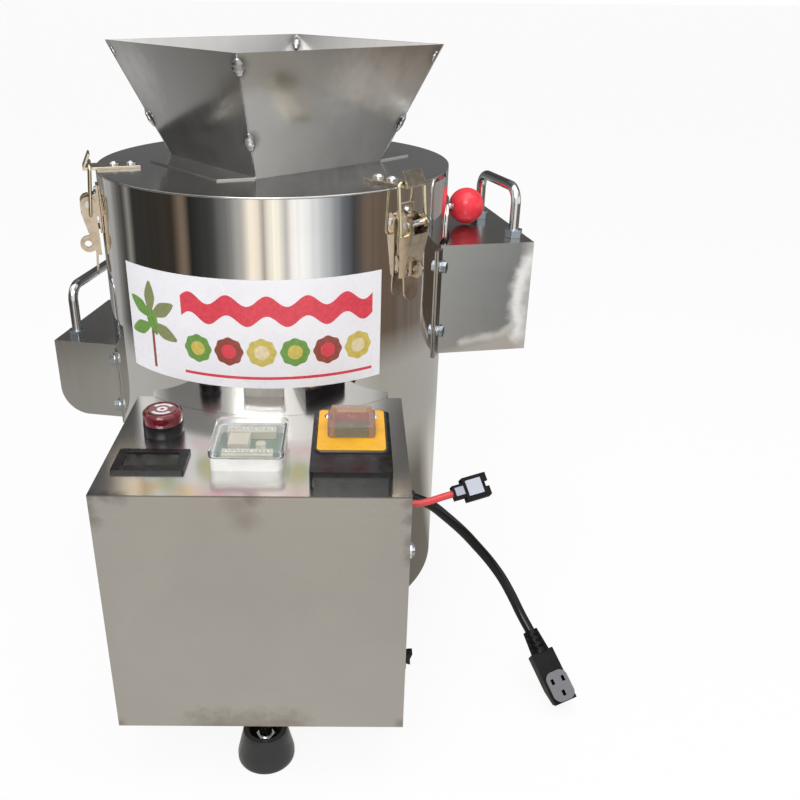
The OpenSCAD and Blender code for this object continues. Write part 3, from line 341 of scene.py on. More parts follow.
def near(material, places, reach, ragged=0.6):
    """A mask that is 1 at the places and fades out ragged over the reach, in millimetres."""
    tree = material.node_tree
    spot = tree.nodes.new("ShaderNodeTexCoord").outputs["Object"]
    wander = noise(material, 120, detail=5)
    mask = None
    for place in places:
        gap = tree.nodes.new("ShaderNodeVectorMath")
        gap.operation = "DISTANCE"
        gap.inputs[1].default_value = place
        tree.links.new(spot, gap.inputs[0])
        uneven = tree.nodes.new("ShaderNodeMath")
        uneven.operation = "MULTIPLY_ADD"
        uneven.inputs[1].default_value = -2 * ragged * reach * MM
        tree.links.new(wander, uneven.inputs[0])
        tree.links.new(gap.outputs["Value"], uneven.inputs[2])
        fade = tree.nodes.new("ShaderNodeMapRange")
        fade.interpolation_type = "SMOOTHSTEP"
        fade.inputs["From Min"].default_value = -ragged * reach * MM
        fade.inputs["From Max"].default_value = (1 - ragged) * reach * MM
        fade.inputs["To Min"].default_value = 1.0
        fade.inputs["To Max"].default_value = 0.0
        tree.links.new(uneven.outputs["Value"], fade.inputs["Value"])
        if mask is None:
            mask = fade.outputs["Result"]
        else:
            most = tree.nodes.new("ShaderNodeMath")
            most.operation = "MAXIMUM"
            tree.links.new(mask, most.inputs[0])
            tree.links.new(fade.outputs["Result"], most.inputs[1])
            mask = most.outputs["Value"]
    return mask


def stain(material, mask, colour):
    """Mixes a colour over the surface's own where the mask is high."""
    tree = material.node_tree
    own = tree.nodes["Principled BSDF"].inputs["Base Color"].links[0].from_socket
    cover = tree.nodes.new("ShaderNodeMix")
    cover.data_type = "RGBA"
    tree.links.new(mask, cover.inputs[0])
    tree.links.new(own, cover.inputs[6])
    cover.inputs[7].default_value = (*colour, 1)
    return wire(material, cover.outputs[2], "Base Color")


def both(material, one, other):
    """High only where both masks are."""
    product = material.node_tree.nodes.new("ShaderNodeMath")
    product.operation = "MULTIPLY"
    for socket, mask in zip(product.inputs, (one, other)):
        if isinstance(mask, float):
            socket.default_value = mask
        else:
            material.node_tree.links.new(mask, socket)
    return product.outputs["Value"]


def beyond(material, place, facing, edge=0.1):
    """A mask that rises to 1 on the side that a plane faces, over so many millimetres either way."""
    tree = material.node_tree
    spot = tree.nodes.new("ShaderNodeTexCoord").outputs["Object"]
    gap = tree.nodes.new("ShaderNodeVectorMath")
    gap.operation = "DOT_PRODUCT"
    gap.inputs[1].default_value = facing
    tree.links.new(spot, gap.inputs[0])
    rise = tree.nodes.new("ShaderNodeMapRange")
    level = Vector(place).dot(Vector(facing))
    rise.inputs["From Min"].default_value = level - edge * MM
    rise.inputs["From Max"].default_value = level + edge * MM
    tree.links.new(gap.outputs["Value"], rise.inputs["Value"])
    return rise.outputs["Result"]


def polish(material, mask, rough):
    """Gives the surface another gloss where the mask is high."""
    tree = material.node_tree
    own = tree.nodes["Principled BSDF"].inputs["Roughness"].links[0].from_socket
    change = tree.nodes.new("ShaderNodeMix")
    tree.links.new(mask, change.inputs[0])
    tree.links.new(own, change.inputs[2])
    change.inputs[3].default_value = rough
    return wire(material, change.outputs[0], "Roughness")


box_steel = metal("box_steel", (0.50, 0.48, 0.45), rough=0.26, grain=260, stretch=(0.06, 1, 1),
                  relief=0.015, smear=0.05, dirt=0.94)
BOX_FRONT, BOX_TOP, SKIN, SEAM = -253, 245.5, 0.3, 0.8
# The top face of the same sheet gets a lighter colour than the front: painted light from above. It is also
# made glossier.
top_painted_lighter = beyond(box_steel, at(0, 0, BOX_TOP - SKIN), (0, 0, 1))
stain(box_steel, top_painted_lighter, (0.78, 0.77, 0.75))
polish(box_steel, top_painted_lighter, 0.2)
# A warm painted highlight near the front left edge of the top.
painted_warm_highlight = near(box_steel, [at(-64, -244, BOX_TOP), at(-40, -248, BOX_TOP)], reach=16, ragged=0.4)
stain(box_steel, both(box_steel, painted_warm_highlight, top_painted_lighter), (0.82, 0.66, 0.42))
brown_heat = near(box_steel, [at(-8, BOX_FRONT, 240), at(-3, BOX_FRONT, 228)], reach=15, ragged=0.3)
stain(box_steel, both(box_steel, brown_heat, 0.4), (0.26, 0.22, 0.17))
low_edge = [at(x, BOX_FRONT, 50) for x in range(-40, 30, 10)]
low_heat = near(box_steel, low_edge, reach=24, ragged=0.6)
stain(box_steel, both(box_steel, low_heat, 0.55), (0.22, 0.18, 0.13))
scars = [(-101, 245), (-92, 246), (-82, 246), (-102, 236), (-102, 226), (-101, 55), (1, 245), (102, 244),
         (103, 230), (103, 214), (103, 200), (102, 56)]
ground_welds = near(box_steel, [at(x, BOX_FRONT, z) for x, z in scars], reach=9, ragged=0.75)
stain(box_steel, both(box_steel, ground_welds, 0.5), (0.16, 0.15, 0.13))
front_sheet = beyond(box_steel, at(0, BOX_FRONT + SKIN, 0), (0, -1, 0))
top_seam = both(box_steel, front_sheet, beyond(box_steel, at(0, 0, BOX_TOP - SEAM), (0, 0, 1), SEAM / 2))
stain(box_steel, both(box_steel, top_seam, 0.8), (0.15, 0.14, 0.12))
dress(box_steel, "control_box", "box_bottom")
dress(mill_steel, "box_brackets")
dress(bright_zinc, "box_screws")
battery_case = moulded("battery_case", (0.03, 0.032, 0.036), rough=0.4, spread=0.1)
dress(battery_case, "battery")

# Panel meter: a black snap-in bezel with a sloping rim, moulded and a little matt, that clips into the box
# top. A dark tinted window sits a little below the rim and gathers dust.
bezel_black = moulded("bezel_black", (0.009, 0.009, 0.011), rough=0.3, spread=0.1)
plain(bezel_black, "Specular IOR Level", 0.3)
dress(bezel_black, "meter_bezel")
soften(0.5, "meter_bezel")
meter_glass = finish("meter_glass", (0.012, 0.011, 0.013), rough=0.12)
gloss = ramp(meter_glass, noise(meter_glass, 160, detail=5), [(0.3, 0.08), (0.75, 0.3)])
wire(meter_glass, gloss, "Roughness")
dust_tones = [(0.4, (0.010, 0.009, 0.011)), (0.8, (0.03, 0.026, 0.028))]
wire(meter_glass, ramp(meter_glass, noise(meter_glass, 420, detail=6), dust_tones), "Base Color")
dress(meter_glass, "meter_window")

# Buzzer: a black threaded base held in a round hole of the box top, with a glossy red lens screwed on it. A
# pale sound mark, two arcs round a dot, is printed on the lens.
dress(bezel_black, "buzzer_base")
soften(0.4, "buzzer_base")
red_lens = finish("red_lens", (0.14, 0.003, 0.011), rough=0.14)
plain(red_lens, "Coat Weight", 0.6)
lens_tones = [(0.3, (0.10, 0.002, 0.008)), (0.7, (0.17, 0.004, 0.014))]
wire(red_lens, ramp(red_lens, noise(red_lens, 90, detail=4), lens_tones), "Base Color")
wire(red_lens, ramp(red_lens, noise(red_lens, 240, detail=5), [(0.35, 0.08), (0.75, 0.22)]), "Roughness")
dress(red_lens, "buzzer_lens")
soften(0.6, "buzzer_lens")
buzzer_x, buzzer_y, buzzer_top = -70.4, -165, 263
mark_white = ink("mark_white", (0.72, 0.68, 0.7))
PRINT_RISE, WAVE_SPAN = 0.04, 110


def arc(name, x, y, z, inner, outer, start, end, material, slot, body="machine"):
    """A thin printed arc or ring on a level face, in millimetres and degrees."""
    verts, count = [], 28
    for i in range(count + 1):
        a = math.radians(start + (end - start) * i / count)
        verts += [at(x + r * math.cos(a), y + r * math.sin(a), z + PRINT_RISE) for r in (inner, outer)]
    return fixed(made(name, verts, strip([2] * (count + 1)), material), body)


buzzer_face = buzzer_x, buzzer_y, buzzer_top
for side, start in (("front", 215), ("rear", 35)):
    arc(f"buzzer_{side}_wave", *buzzer_face, 6, 8.6, start, start + WAVE_SPAN, mark_white, "white_plastic")
arc("buzzer_dot", *buzzer_face, 1.4, 3.8, 0, 360, mark_white, "white_plastic")

# Relay module: a white moulded tray fixed to the box top, with a green board that carries beige terminal
# strips and a relay. Two rows of terminal screws show through its clear snap-on cover.
tray_white = moulded("tray_white", (0.78, 0.78, 0.76), rough=0.28, spread=0.1)
dress(tray_white, "module_base")
soften(0.6, "module_base")
board_top = 249.6
board_green = moulded("board_green", (0.05, 0.17, 0.12), rough=0.4, spread=0.1, grain=500, relief=0.2)
stain(board_green, beyond(board_green, at(0, 0, board_top), (0, 0, 1)), (0.62, 0.60, 0.47))
dress(board_green, "module_board")
soften(0.3, "module_board")
module_x, module_y, strip_top = -5.5, -197, 255


def hoops(count, sides):
    """Faces between neighbouring closed rings of vertices."""
    faces = []
    for i in range(count - 1):
        for k in range(sides):
            beside = (k + 1) % sides
            faces.append((i * sides + k, i * sides + beside, (i + 1) * sides + beside, (i + 1) * sides + k))
    return faces


def turned(name, profile, matrix, material, sides=20):
    """A body of revolution from (distance along, radius) pairs in millimetres, placed by a matrix."""
    verts = []
    for x, r in profile:
        for k in range(sides):
            a = 2 * math.pi * k / sides
            verts.append(matrix @ (Vector((x, r * math.cos(a), r * math.sin(a))) * MM))
    last = (len(profile) - 1) * sides
    faces = hoops(len(profile), sides) + [tuple(range(sides))[::-1], tuple(range(last, last + sides))]
    return made(name, verts, faces, material, True)


upright = Matrix.Rotation(math.radians(-90), 4, "Y")
row_gap, screw_from, screw_step = 16, -14, 5.6
screw_head = [(-0.2, 1.7), (0.6, 1.7), (0.8, 1.4), (0.8, 0.5), (0.4, 0.4)]
for row, y in (("front", module_y - row_gap), ("rear", module_y + row_gap)):
    for i in range(6):
        place = Matrix.Translation(at(module_x + screw_from + screw_step * i, y, strip_top))
        screw = turned(f"terminal_{row}_{i}", screw_head, place @ upright, bright_zinc, sides=12)
        fixed(screw)


def clear(name, colour, rough, passing, bending=1.45):
    """See-through plastic; what does not pass is scattered like milk."""
    material = finish(name, colour, rough=rough)
    plain(material, "Transmission Weight", passing)
    plain(material, "IOR", bending)
    gloss = ramp(material, noise(material, 120, detail=5), [(0.35, rough), (0.8, rough + 0.1)])
    wire(material, gloss, "Roughness")
    tone = ramp(material, noise(material, 45, detail=4), [(0.3, shaded(colour, 0.94)), (0.7, colour)])
    return wire(material, tone, "Base Color")


clear_cover = clear("clear_cover", (0.97, 0.98, 0.98), rough=0.03, passing=0.9, bending=1.18)
dress(clear_cover, "module_cover")
soften(0.8, "module_cover")

# Magnetic switch: a glossy black housing with an amber plate held by two screws. A red and a green push
# button, marked O and I, sit under a milky flip cover hinged at the rear.
gloss_black = moulded("gloss_black", (0.007, 0.007, 0.008), rough=0.2, spread=0.1, grain=900, relief=0.06)
plain(gloss_black, "Specular IOR Level", 0.35)
dress(gloss_black, "switch_housing")
soften(1.6, "switch_housing")
amber_plate = moulded("amber_plate", (0.90, 0.47, 0.03), rough=0.36, spread=0.1)
dress(amber_plate, "switch_plate")
soften(0.4, "switch_plate")
dress(bright_zinc, "switch_screws")
switch_x, red_y, green_y, button_top = 63.5, -175, -188.9, 262.9
plate_w, plate_l, plate_y, plate_r, lip_low = 46, 60, -184.5, 3, 256.4


def outline(width, length, radius, x, y, z):
    """The points of a level rectangle with round corners, in millimetres."""
    points = []
    for quarter, (u, v) in enumerate([(1, 1), (-1, 1), (-1, -1), (1, -1)]):
        for k in range(7):
            a = math.radians(90 * quarter + 15 * k)
            points.append(at(x + u * (width / 2 - radius) + radius * math.cos(a),
                             y + v * (length / 2 - radius) + radius * math.sin(a), z))
    return points


lip_verts, lip_rings = [], [(0.25, 0), (0.3, 1.0), (0.7, 1.5), (1.2, 1.2), (1.5, 0)]
for gap, rise in lip_rings:
    width, length = plate_w + 2 * gap, plate_l + 2 * gap
    lip_verts += outline(width, length, plate_r + gap, switch_x, plate_y, lip_low + rise)
lip_faces = hoops(len(lip_rings), len(lip_verts) // len(lip_rings))
lip_black = moulded("lip_black", (0.03, 0.03, 0.032), rough=0.25, spread=0.1, grain=900, relief=0.06)
fixed(made("switch_lip", lip_verts, lip_faces, lip_black, True))
milky_cover = clear("milky_cover", (0.66, 0.56, 0.53), rough=0.12, passing=0.8, bending=1.12)
dress(milky_cover, "switch_cover")
soften(0.5, "switch_cover")
button_red = moulded("button_red", (0.62, 0.05, 0.045), rough=0.35, spread=0.1)
dress(button_red, "switch_off_button")
button_green = moulded("button_green", (0.05, 0.32, 0.12), rough=0.35, spread=0.1)
dress(button_green, "switch_on_button")
soften(0.8, "switch_off_button", "switch_on_button")
arc("mark_off", switch_x, red_y, button_top, 1.9, 2.8, 0, 360, mark_white, "white_plastic", "off_button")
bar = [at(switch_x + x, green_y + y, button_top + PRINT_RISE) for y in (-3, 3) for x in (-0.5, 0.5)]
fixed(made("mark_on", bar, [(0, 1, 3, 2)], mark_white), "on_button")

# Side rocker: a small black snap-in switch low on the right side of the box. Its key tips in a thin moulded
# bezel that lies flat on the sheet.
dress(bezel_black, "rocker_bezel", "rocker")
soften(0.4, "rocker_bezel", "rocker")

# Charge lead: a short red lead with soft insulation that comes out of a rubber grommet in the box side
# and ends in a black connector with pale moulded pads.


def tube(name, points, radius, material):
    """A cord as one smooth open curve through its route points."""
    line = bpy.data.curves.new(name, "CURVE")
    line.dimensions = "3D"
    spline = line.splines.new("POLY")
    spline.points.add(len(points) - 1)
    for p, q in zip(spline.points, points):
        p.co = (*q, 1)
    spline.use_smooth = True
    line.bevel_depth = radius
    line.bevel_resolution = 5
    line.use_fill_caps = True
    piece = bpy.data.objects.new(name, line)
    bpy.context.scene.collection.objects.link(piece)
    line.materials.append(material)
    return piece


def eased(points, steps):
    """Extra points between the route's own, on a curve that passes through all of them."""
    line = []
    for i in range(len(points) - 1):
        p0, p1, p2 = points[max(i - 1, 0)], points[i], points[i + 1]
        p3 = points[min(i + 2, len(points) - 1)]
        for k in range(steps):
            s = k / steps
            line.append(0.5 * (2 * p1 + (p2 - p0) * s + (2 * p0 - 5 * p1 + 4 * p2 - p3) * s * s
                               + (3 * p1 - p0 - 3 * p2 + p3) * s ** 3))
    return line + [points[-1]]


red_insulation = moulded("red_insulation", (0.72, 0.055, 0.06), rough=0.32, spread=0.1)
plain(red_insulation, "Coat Weight", 0.15)
lead_d = 5.0 * MM
lead_points = [at(105, -203, 210), at(111.5, -203, 210), at(119, -201.2, 211), at(126.8, -198.6, 212.3),
               at(134.5, -196.4, 213.6)]
pad_rise, neck_rise, neck_end = 4.7 * MM, 3.9 * MM, 7.9 * MM
lead_route = eased(lead_points, 5)
lead = fixed(tube("red_lead", lead_route, lead_d / 2, red_insulation))
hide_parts("charge_lead")
connector_black = moulded("connector_black", (0.005, 0.005, 0.006), rough=0.34, spread=0.12)
plain(connector_black, "Specular IOR Level", 0.15)


def pointing(start, ahead, roll):
    """The place of a plug whose length lies along a direction, rolled about it by an angle in degrees."""
    level = math.hypot(ahead.x, ahead.y)
    turn = Euler((math.radians(roll), math.atan2(-ahead.z, level), math.atan2(ahead.y, ahead.x)), "XYZ")
    return Matrix.Translation(start) @ turn.to_matrix().to_4x4()


connector_place = pointing(lead_points[-1], lead_points[-1] - lead_points[-2], 45)
pad_up = connector_place.to_3x3() @ Vector((0, 0, 1))
lead_side = connector_place.to_3x3() @ Vector((-1, 0, 0))
pad = beyond(connector_black, connector_place @ Vector((0, 0, pad_rise)), pad_up)
stain(connector_black, pad, (0.52, 0.54, 0.62))
neck_pad = beyond(connector_black, connector_place @ Vector((0, 0, neck_rise)), pad_up)
neck = beyond(connector_black, connector_place @ Vector((neck_end, 0, 0)), lead_side)
stain(connector_black, both(connector_black, neck_pad, neck), (0.42, 0.44, 0.52))
dress(connector_black, "charge_connector")
soften(0.5, "charge_connector")

# Power cable: a round black mains cable from an angled rubber boot in the box side. It arches over under
# its own stiffness, drops towards the floor and ends in an appliance plug with a grooved strain relief and
# a grey face.
cable_black = moulded("cable_black", (0.005, 0.005, 0.006), rough=0.15, spread=0.06, grain=900, relief=0.03)
plain(cable_black, "Specular IOR Level", 0.35)
cable_d = 8.2 * MM
boot_tilt, plug_turn, plug_tilt = math.radians(25), math.radians(-62.6), math.radians(35)
plug_dir = Vector((math.cos(plug_turn) * math.cos(plug_tilt), math.sin(plug_turn) * math.cos(plug_tilt),
                   -math.sin(plug_tilt)))
boot_from, plug_from = at(103, -124, 170.5), at(215.9, -135.8, 42)
boot_l, end_gap, face_rise = 10, 0.5, 12.5
cable_from = boot_from + Vector((math.cos(boot_tilt), 0, -math.sin(boot_tilt))) * (boot_l + end_gap) * MM
cable_route = eased([cable_from, at(127, -123, 159), at(140.5, -121, 146.5), at(156, -116.5, 129),
                     at(169.5, -112, 111), at(181.5, -110, 95), at(193, -111.5, 78.5), at(202, -116.5, 63.5),
                     at(209, -125, 51.5), plug_from - plug_dir * end_gap * MM], 4)
cable = fixed(tube("mains_cable", cable_route, cable_d / 2, cable_black))
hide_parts("power_cable")
plug_black = moulded("plug_black", (0.005, 0.005, 0.006), rough=0.34, spread=0.1)
plain(plug_black, "Specular IOR Level", 0.15)
plug_place = pointing(plug_from, plug_dir, 18)
face_up = plug_place.to_3x3() @ Vector((0, 0, 1))
face = beyond(plug_black, plug_place @ Vector((0, 0, face_rise * MM)), face_up)
stain(plug_black, face, (0.2, 0.2, 0.215))
dress(plug_black, "cable_plug")
soften(0.6, "cable_plug")
grommet_rubber = moulded("grommet_rubber", (0.012, 0.012, 0.012), rough=0.55, spread=0.1)
dress(grommet_rubber, "cord_grommets")

# Hoods: folded satin sheet over the two outlets, bolted to the drum through side flanges, each with a bent
# rod handle held by nuts. The right one is abraded rougher along its outer and lower edges, with a painted
# reflection of the bright room lightening them, and a sliding gate with a red ball knob closes its outlet.
hood_steel = metal("hood_steel", (0.42, 0.41, 0.39), rough=0.22, grain=200, stretch=(1, 1, 0.06),
                   relief=0.03, smear=0.06, dirt=0.9)
hood_turn, hood_half = math.radians(10), 65.5
hood_out = Vector((math.cos(hood_turn), math.sin(hood_turn), 0))
hood_side = Vector((math.sin(hood_turn), -math.cos(hood_turn), 0))


def on_hood(reach, z):
    """A point on the front sheet of the right hood, in millimetres out from the drum's axis and up."""
    return at(*(hood_out * reach + hood_side * hood_half)[:2], z)


sheet_depth = 0.4 * MM
hood_front = beyond(hood_steel, on_hood(170, 300) - hood_side * sheet_depth, hood_side)
outer_edge = beyond(hood_steel, on_hood(195, 300), hood_out, 5)
lower_edge = beyond(hood_steel, on_hood(170, 267), hood_out * 0.24 - Vector((0, 0, 0.97)), 4)
# The light colours along the right hood's outer and lower edges are a painted reflection of the bright room;
# the raised roughness there is the abraded sheet.
for edge, edge_glare in ((outer_edge, (0.9, 0.89, 0.88)), (lower_edge, (0.8, 0.74, 0.68))):
    wear_and_glare = both(hood_steel, hood_front, edge)
    stain(hood_steel, both(hood_steel, wear_and_glare, 0.5), edge_glare)
    polish(hood_steel, wear_and_glare, 0.45)
# The light streaks along these paths are painted glare on abraded sheet; their roughness is the sheet's own.
upright_rub_glare = eased([on_hood(199, 333), on_hood(194, 322), on_hood(192, 305), on_hood(192.5, 287),
                     on_hood(194, 271)], 5)
level_rub_glare = eased([on_hood(146, 266), on_hood(160, 268), on_hood(178, 271), on_hood(189, 278)], 7)
for path, reach, bright in ((upright_rub_glare, 11, (1, 1, 1)), (level_rub_glare, 6, (0.72, 0.7, 0.67))):
    rub_and_glare = both(hood_steel, hood_front, near(hood_steel, path, reach, ragged=0.45))
    stain(hood_steel, rub_and_glare, bright)
    polish(hood_steel, rub_and_glare, 0.6)
dress(hood_steel, "right_hood")
left_hood_steel = metal("left_hood_steel", (0.60, 0.59, 0.56), rough=0.24, grain=200, stretch=(1, 1, 0.06),
                        relief=0.03, smear=0.06, dirt=0.92)
dress(left_hood_steel, "left_hood")
soften(0.7, "right_hood", "left_hood")
blue_zinc = metal("blue_zinc", (0.50, 0.56, 0.62), rough=0.24, grain=900, stretch=(1, 1, 1), relief=0.06)
dress(blue_zinc, "hood_bolts", "handle_nuts")
soften(0.3, "hood_bolts", "handle_nuts")
gate_steel = metal("gate_steel", (0.6, 0.58, 0.56), rough=0.14, grain=400, stretch=(1, 1, 0.06),
                   relief=0.04, smear=0.05)
dress(gate_steel, "gate_plate")
soften(0.4, "gate_plate")
dress(mill_steel, "gate_guides")
rod_steel = metal("rod_steel", (0.70, 0.71, 0.72), rough=0.13, grain=700, stretch=(1, 1, 1), relief=0.04,
                  smear=0.06)
dress(rod_steel, "right_handle", "left_handle", "gate_stud")
ball_red = finish("ball_red", (1.0, 0.08, 0.12), rough=0.32)
wire(ball_red, ramp(ball_red, noise(ball_red, 30, detail=5), [(0.3, 0.18), (0.75, 0.26)]), "Roughness")
ball_tones = [(0.3, (1.0, 0.04, 0.065)), (0.7, (1.0, 0.06, 0.09))]
wire(ball_red, ramp(ball_red, noise(ball_red, 40, detail=3), ball_tones), "Base Color")
dress(ball_red, "gate_knob")

# Lid and hopper: a flat steel lid with a locating ring, and a square hopper folded from satin sheet that
# stands on two foot flanges. Short puddle welds with dark heat rings join its corners, and light patches
# near the rim of its side panels are painted highlights.
lid_steel = metal("lid_steel", (0.62, 0.62, 0.61), rough=0.16, grain=300, stretch=(1, 0.08, 1), relief=0.04,
                  smear=0.06, dirt=0.88)
dress(lid_steel, "lid")
soften(0.5, "lid")
hopper_steel = metal("hopper_steel", (0.6, 0.59, 0.575), rough=0.2, grain=120, stretch=(1, 1, 0.3),
                     relief=0.003, smear=0.03, dirt=0.93)
HOPPER_LOW, HOPPER_TOP, HOPPER_H = 121 / math.sqrt(2), 187 / math.sqrt(2), 88
HOPPER_BACK, LID_Z = 6, 407


def hopper_corner(turn, z, inward=0.0):
    """A point on a corner edge of the hopper; turn counts from +X, in degrees."""
    reach = HOPPER_LOW + (HOPPER_TOP - HOPPER_LOW) * (z - LID_Z) / HOPPER_H - inward
    a = math.radians(turn)
    return at(reach * math.cos(a), reach * math.sin(a) + HOPPER_BACK, z)


FRONT, RIGHT, BACK, LEFT = -95, -5, 85, 175
weld_steel = metal("weld_steel", (0.42, 0.41, 0.42), rough=0.28, grain=700, stretch=(1, 1, 1), relief=0.3,
                   smear=0.1, dirt=0.6)
weld_list = [(FRONT, 486, 0, 7, 2.6), (FRONT, 435, 0, 8, 2.2), (RIGHT, 437, 0, 8, 2.2),
             (LEFT, 437, 0, 8, 2.2), (BACK, 437, 0, 8, 2.2), (BACK, 487, 2.6, 6, 2.2),
             (LEFT, 487, 2.6, 6, 2.2), (RIGHT, 487, 2.6, 6, 2.2)]
bead_flat, bead_steps = Matrix.Diagonal((1, 1.7, 0.9, 1)), 16
for i, (turn, z, inward, half, thick) in enumerate(weld_list):
    low, high = hopper_corner(turn, z - half, inward), hopper_corner(turn, z + half, inward)
    place = pointing((low + high) / 2, high - low, 0) @ bead_flat
    bead = []
    for k in range(bead_steps + 1):
        s = 0.02 + 0.96 * k / bead_steps
        ripple = 1 + 0.07 * math.sin(s * 6 * math.pi)
        bead.append((half * (2 * s - 1), thick * math.sin(math.pi * s) ** 0.6 * ripple))
    fixed(turned(f"hopper_weld_{i}", bead, place, weld_steel))
seam_sunk, seam_r = 0.4, 0.5
for side, turn in (("front", FRONT), ("right", RIGHT), ("back", BACK), ("left", LEFT)):
    low = hopper_corner(turn, LID_Z + 2, seam_sunk)
    high = hopper_corner(turn, LID_Z + HOPPER_H - 1, seam_sunk)
    seam = [(s * (high - low).length / MM, seam_r) for s in (0, 0.25, 0.5, 0.75, 1)]
    place = pointing(low, high - low, 0)
    fixed(turned(f"hopper_seam_{side}", seam, place, weld_steel, sides=8))
heat_places = [hopper_corner(turn, z, inward) for turn, z, inward, half, thick in weld_list]
stain(hopper_steel, near(hopper_steel, heat_places, reach=11, ragged=0.35), (0.10, 0.10, 0.11))
# Light patches on the side panels near the rim: painted highlights.
sheen_z = 474
for corner, places in ((RIGHT, (0.08, 0.24, 0.4)), (LEFT, (0.06, 0.16))):
    sheen_spots = [hopper_corner(corner, sheen_z).lerp(hopper_corner(FRONT, sheen_z), s) for s in places]
    painted_sheen = both(hopper_steel, near(hopper_steel, sheen_spots, reach=42, ragged=0.3), 0.8)
    stain(hopper_steel, painted_sheen, (0.95, 0.93, 0.9))
dress(hopper_steel, "hopper")
soften(0.35, "hopper")

# Toggle latches: pressed steel with yellow zinc, each a base with two ears, a channel lever, a wire bail
# and a keeper strip riveted to the lid. The plating shifts from straw yellow to pink and olive.


def yellow_plate(name, dark, middle, light):
    """Yellow zinc plating that drifts between three tints."""
    material = metal(name, middle, rough=0.2, grain=300, stretch=(1, 1, 1), relief=0.06, smear=0.08)
    sheen = noise(material, 70, detail=4, distort=1.2)
    return wire(material, ramp(material, sheen, [(0.25, dark), (0.5, middle), (0.75, light)]), "Base Color")


lever_plate = yellow_plate("lever_plate", (0.46, 0.35, 0.28), (0.58, 0.50, 0.39), (0.67, 0.57, 0.50))
wire_plate = yellow_plate("wire_plate", (0.58, 0.50, 0.30), (0.68, 0.62, 0.42), (0.72, 0.67, 0.52))
strip_plate = yellow_plate("strip_plate", (0.60, 0.51, 0.38), (0.70, 0.62, 0.50), (0.74, 0.64, 0.58))
levers = ["latch_lever_" + k for k in "abc"]
bails = ["latch_bail_" + k for k in "abc"]
dress(lever_plate, *levers, "latch_bases")
dress(wire_plate, *bails)
dress(strip_plate, "keepers")
soften(0.35, *levers, "keepers")
dress(bright_zinc, "latch_pins", "keeper_rivets")
soften(0.4, "latch_pins", "keeper_rivets")

# Stage: a white floor and surround, one soft lamp overhead and one behind the camera. The workshop that the
# polished steel mirrors, with its dark doorway, brown cupboards and bright windows, shows in shiny surfaces
# alone.


def glow(name, colour):
    """A surface that gives its colour off, and the node that says which."""
    material = bpy.data.materials.new(name)
    material.use_nodes = True
    tree = material.node_tree
    tree.nodes.remove(tree.nodes["Principled BSDF"])
    light = tree.nodes.new("ShaderNodeEmission")
    light.inputs["Color"].default_value = (*colour, 1)
    tree.links.new(light.outputs["Emission"], tree.nodes["Material Output"].inputs["Surface"])
    return material, light


def mirrored_only(piece):
    """Keeps a piece of the room out of sight, so that only shiny surfaces show it."""
    piece.visible_camera = False
    piece.visible_diffuse = False
    piece.visible_shadow = False
    piece.visible_transmission = False
    piece.location = (DRUM_X, DRUM_Y, 0)


def shows(tree):
    """1 for what is seen straight, in a mirror or through glass, 0 for light that falls on the object."""
    path = tree.nodes.new("ShaderNodeLightPath")
    either = tree.nodes.new("ShaderNodeMath")
    either.operation = "MAXIMUM"
    tree.links.new(path.outputs["Is Camera Ray"], either.inputs[0])
    tree.links.new(path.outputs["Is Glossy Ray"], either.inputs[1])
    any_of = tree.nodes.new("ShaderNodeMath")
    any_of.operation = "MAXIMUM"
    tree.links.new(either.outputs["Value"], any_of.inputs[0])
    tree.links.new(path.outputs["Is Transmission Ray"], any_of.inputs[1])
    return any_of.outputs["Value"]


floor_paper = finish("floor_paper", (0.93, 0.93, 0.92), rough=0.9)
paper = floor_paper.node_tree
white = paper.nodes.new("ShaderNodeEmission")
share = paper.nodes.new("ShaderNodeMath")
share.operation = "MULTIPLY"
share.inputs[1].default_value = 0.9
blank = paper.nodes.new("ShaderNodeMixShader")
paper.links.new(shows(paper), share.inputs[0])
paper.links.new(share.outputs["Value"], blank.inputs["Fac"])
paper.links.new(paper.nodes["Principled BSDF"].outputs["BSDF"], blank.inputs[1])
paper.links.new(white.outputs["Emission"], blank.inputs[2])
paper.links.new(blank.outputs["Shader"], paper.nodes["Material Output"].inputs["Surface"])
FLOOR = 40
floor_corners = [(-FLOOR, -FLOOR, 0), (FLOOR, -FLOOR, 0), (FLOOR, FLOOR, 0), (-FLOOR, FLOOR, 0)]
floor = made("stage_floor", floor_corners, [(0, 1, 2, 3)], floor_paper)


def bowl(name, profile, material):
    """A surface of revolution round the drum's axis from (radius, height) pairs in metres."""
    sides = 96
    verts = [(r * math.cos(2 * math.pi * k / sides), r * math.sin(2 * math.pi * k / sides), z)
             for r, z in profile for k in range(sides)]
    mirrored_only(made(name, verts, hoops(len(profile), sides), material, True))


workshop, workshop_light = glow("workshop", (0.5, 0.5, 0.5))
room = workshop.node_tree
spot = room.nodes.new("ShaderNodeTexCoord")


def bearing():
    """The way from the drum's axis, 0 to 1 round the room."""
    turn = room.nodes.new("ShaderNodeTexGradient")
    turn.gradient_type = "RADIAL"
    room.links.new(spot.outputs["Object"], turn.inputs["Vector"])
    return turn.outputs["Fac"]


def round_about(bands):
    """Colours round the drum's axis from (degrees, colour) pairs."""
    return ramp(workshop, bearing(), [((degrees + 180) / 360, colour) for degrees, colour in bands])


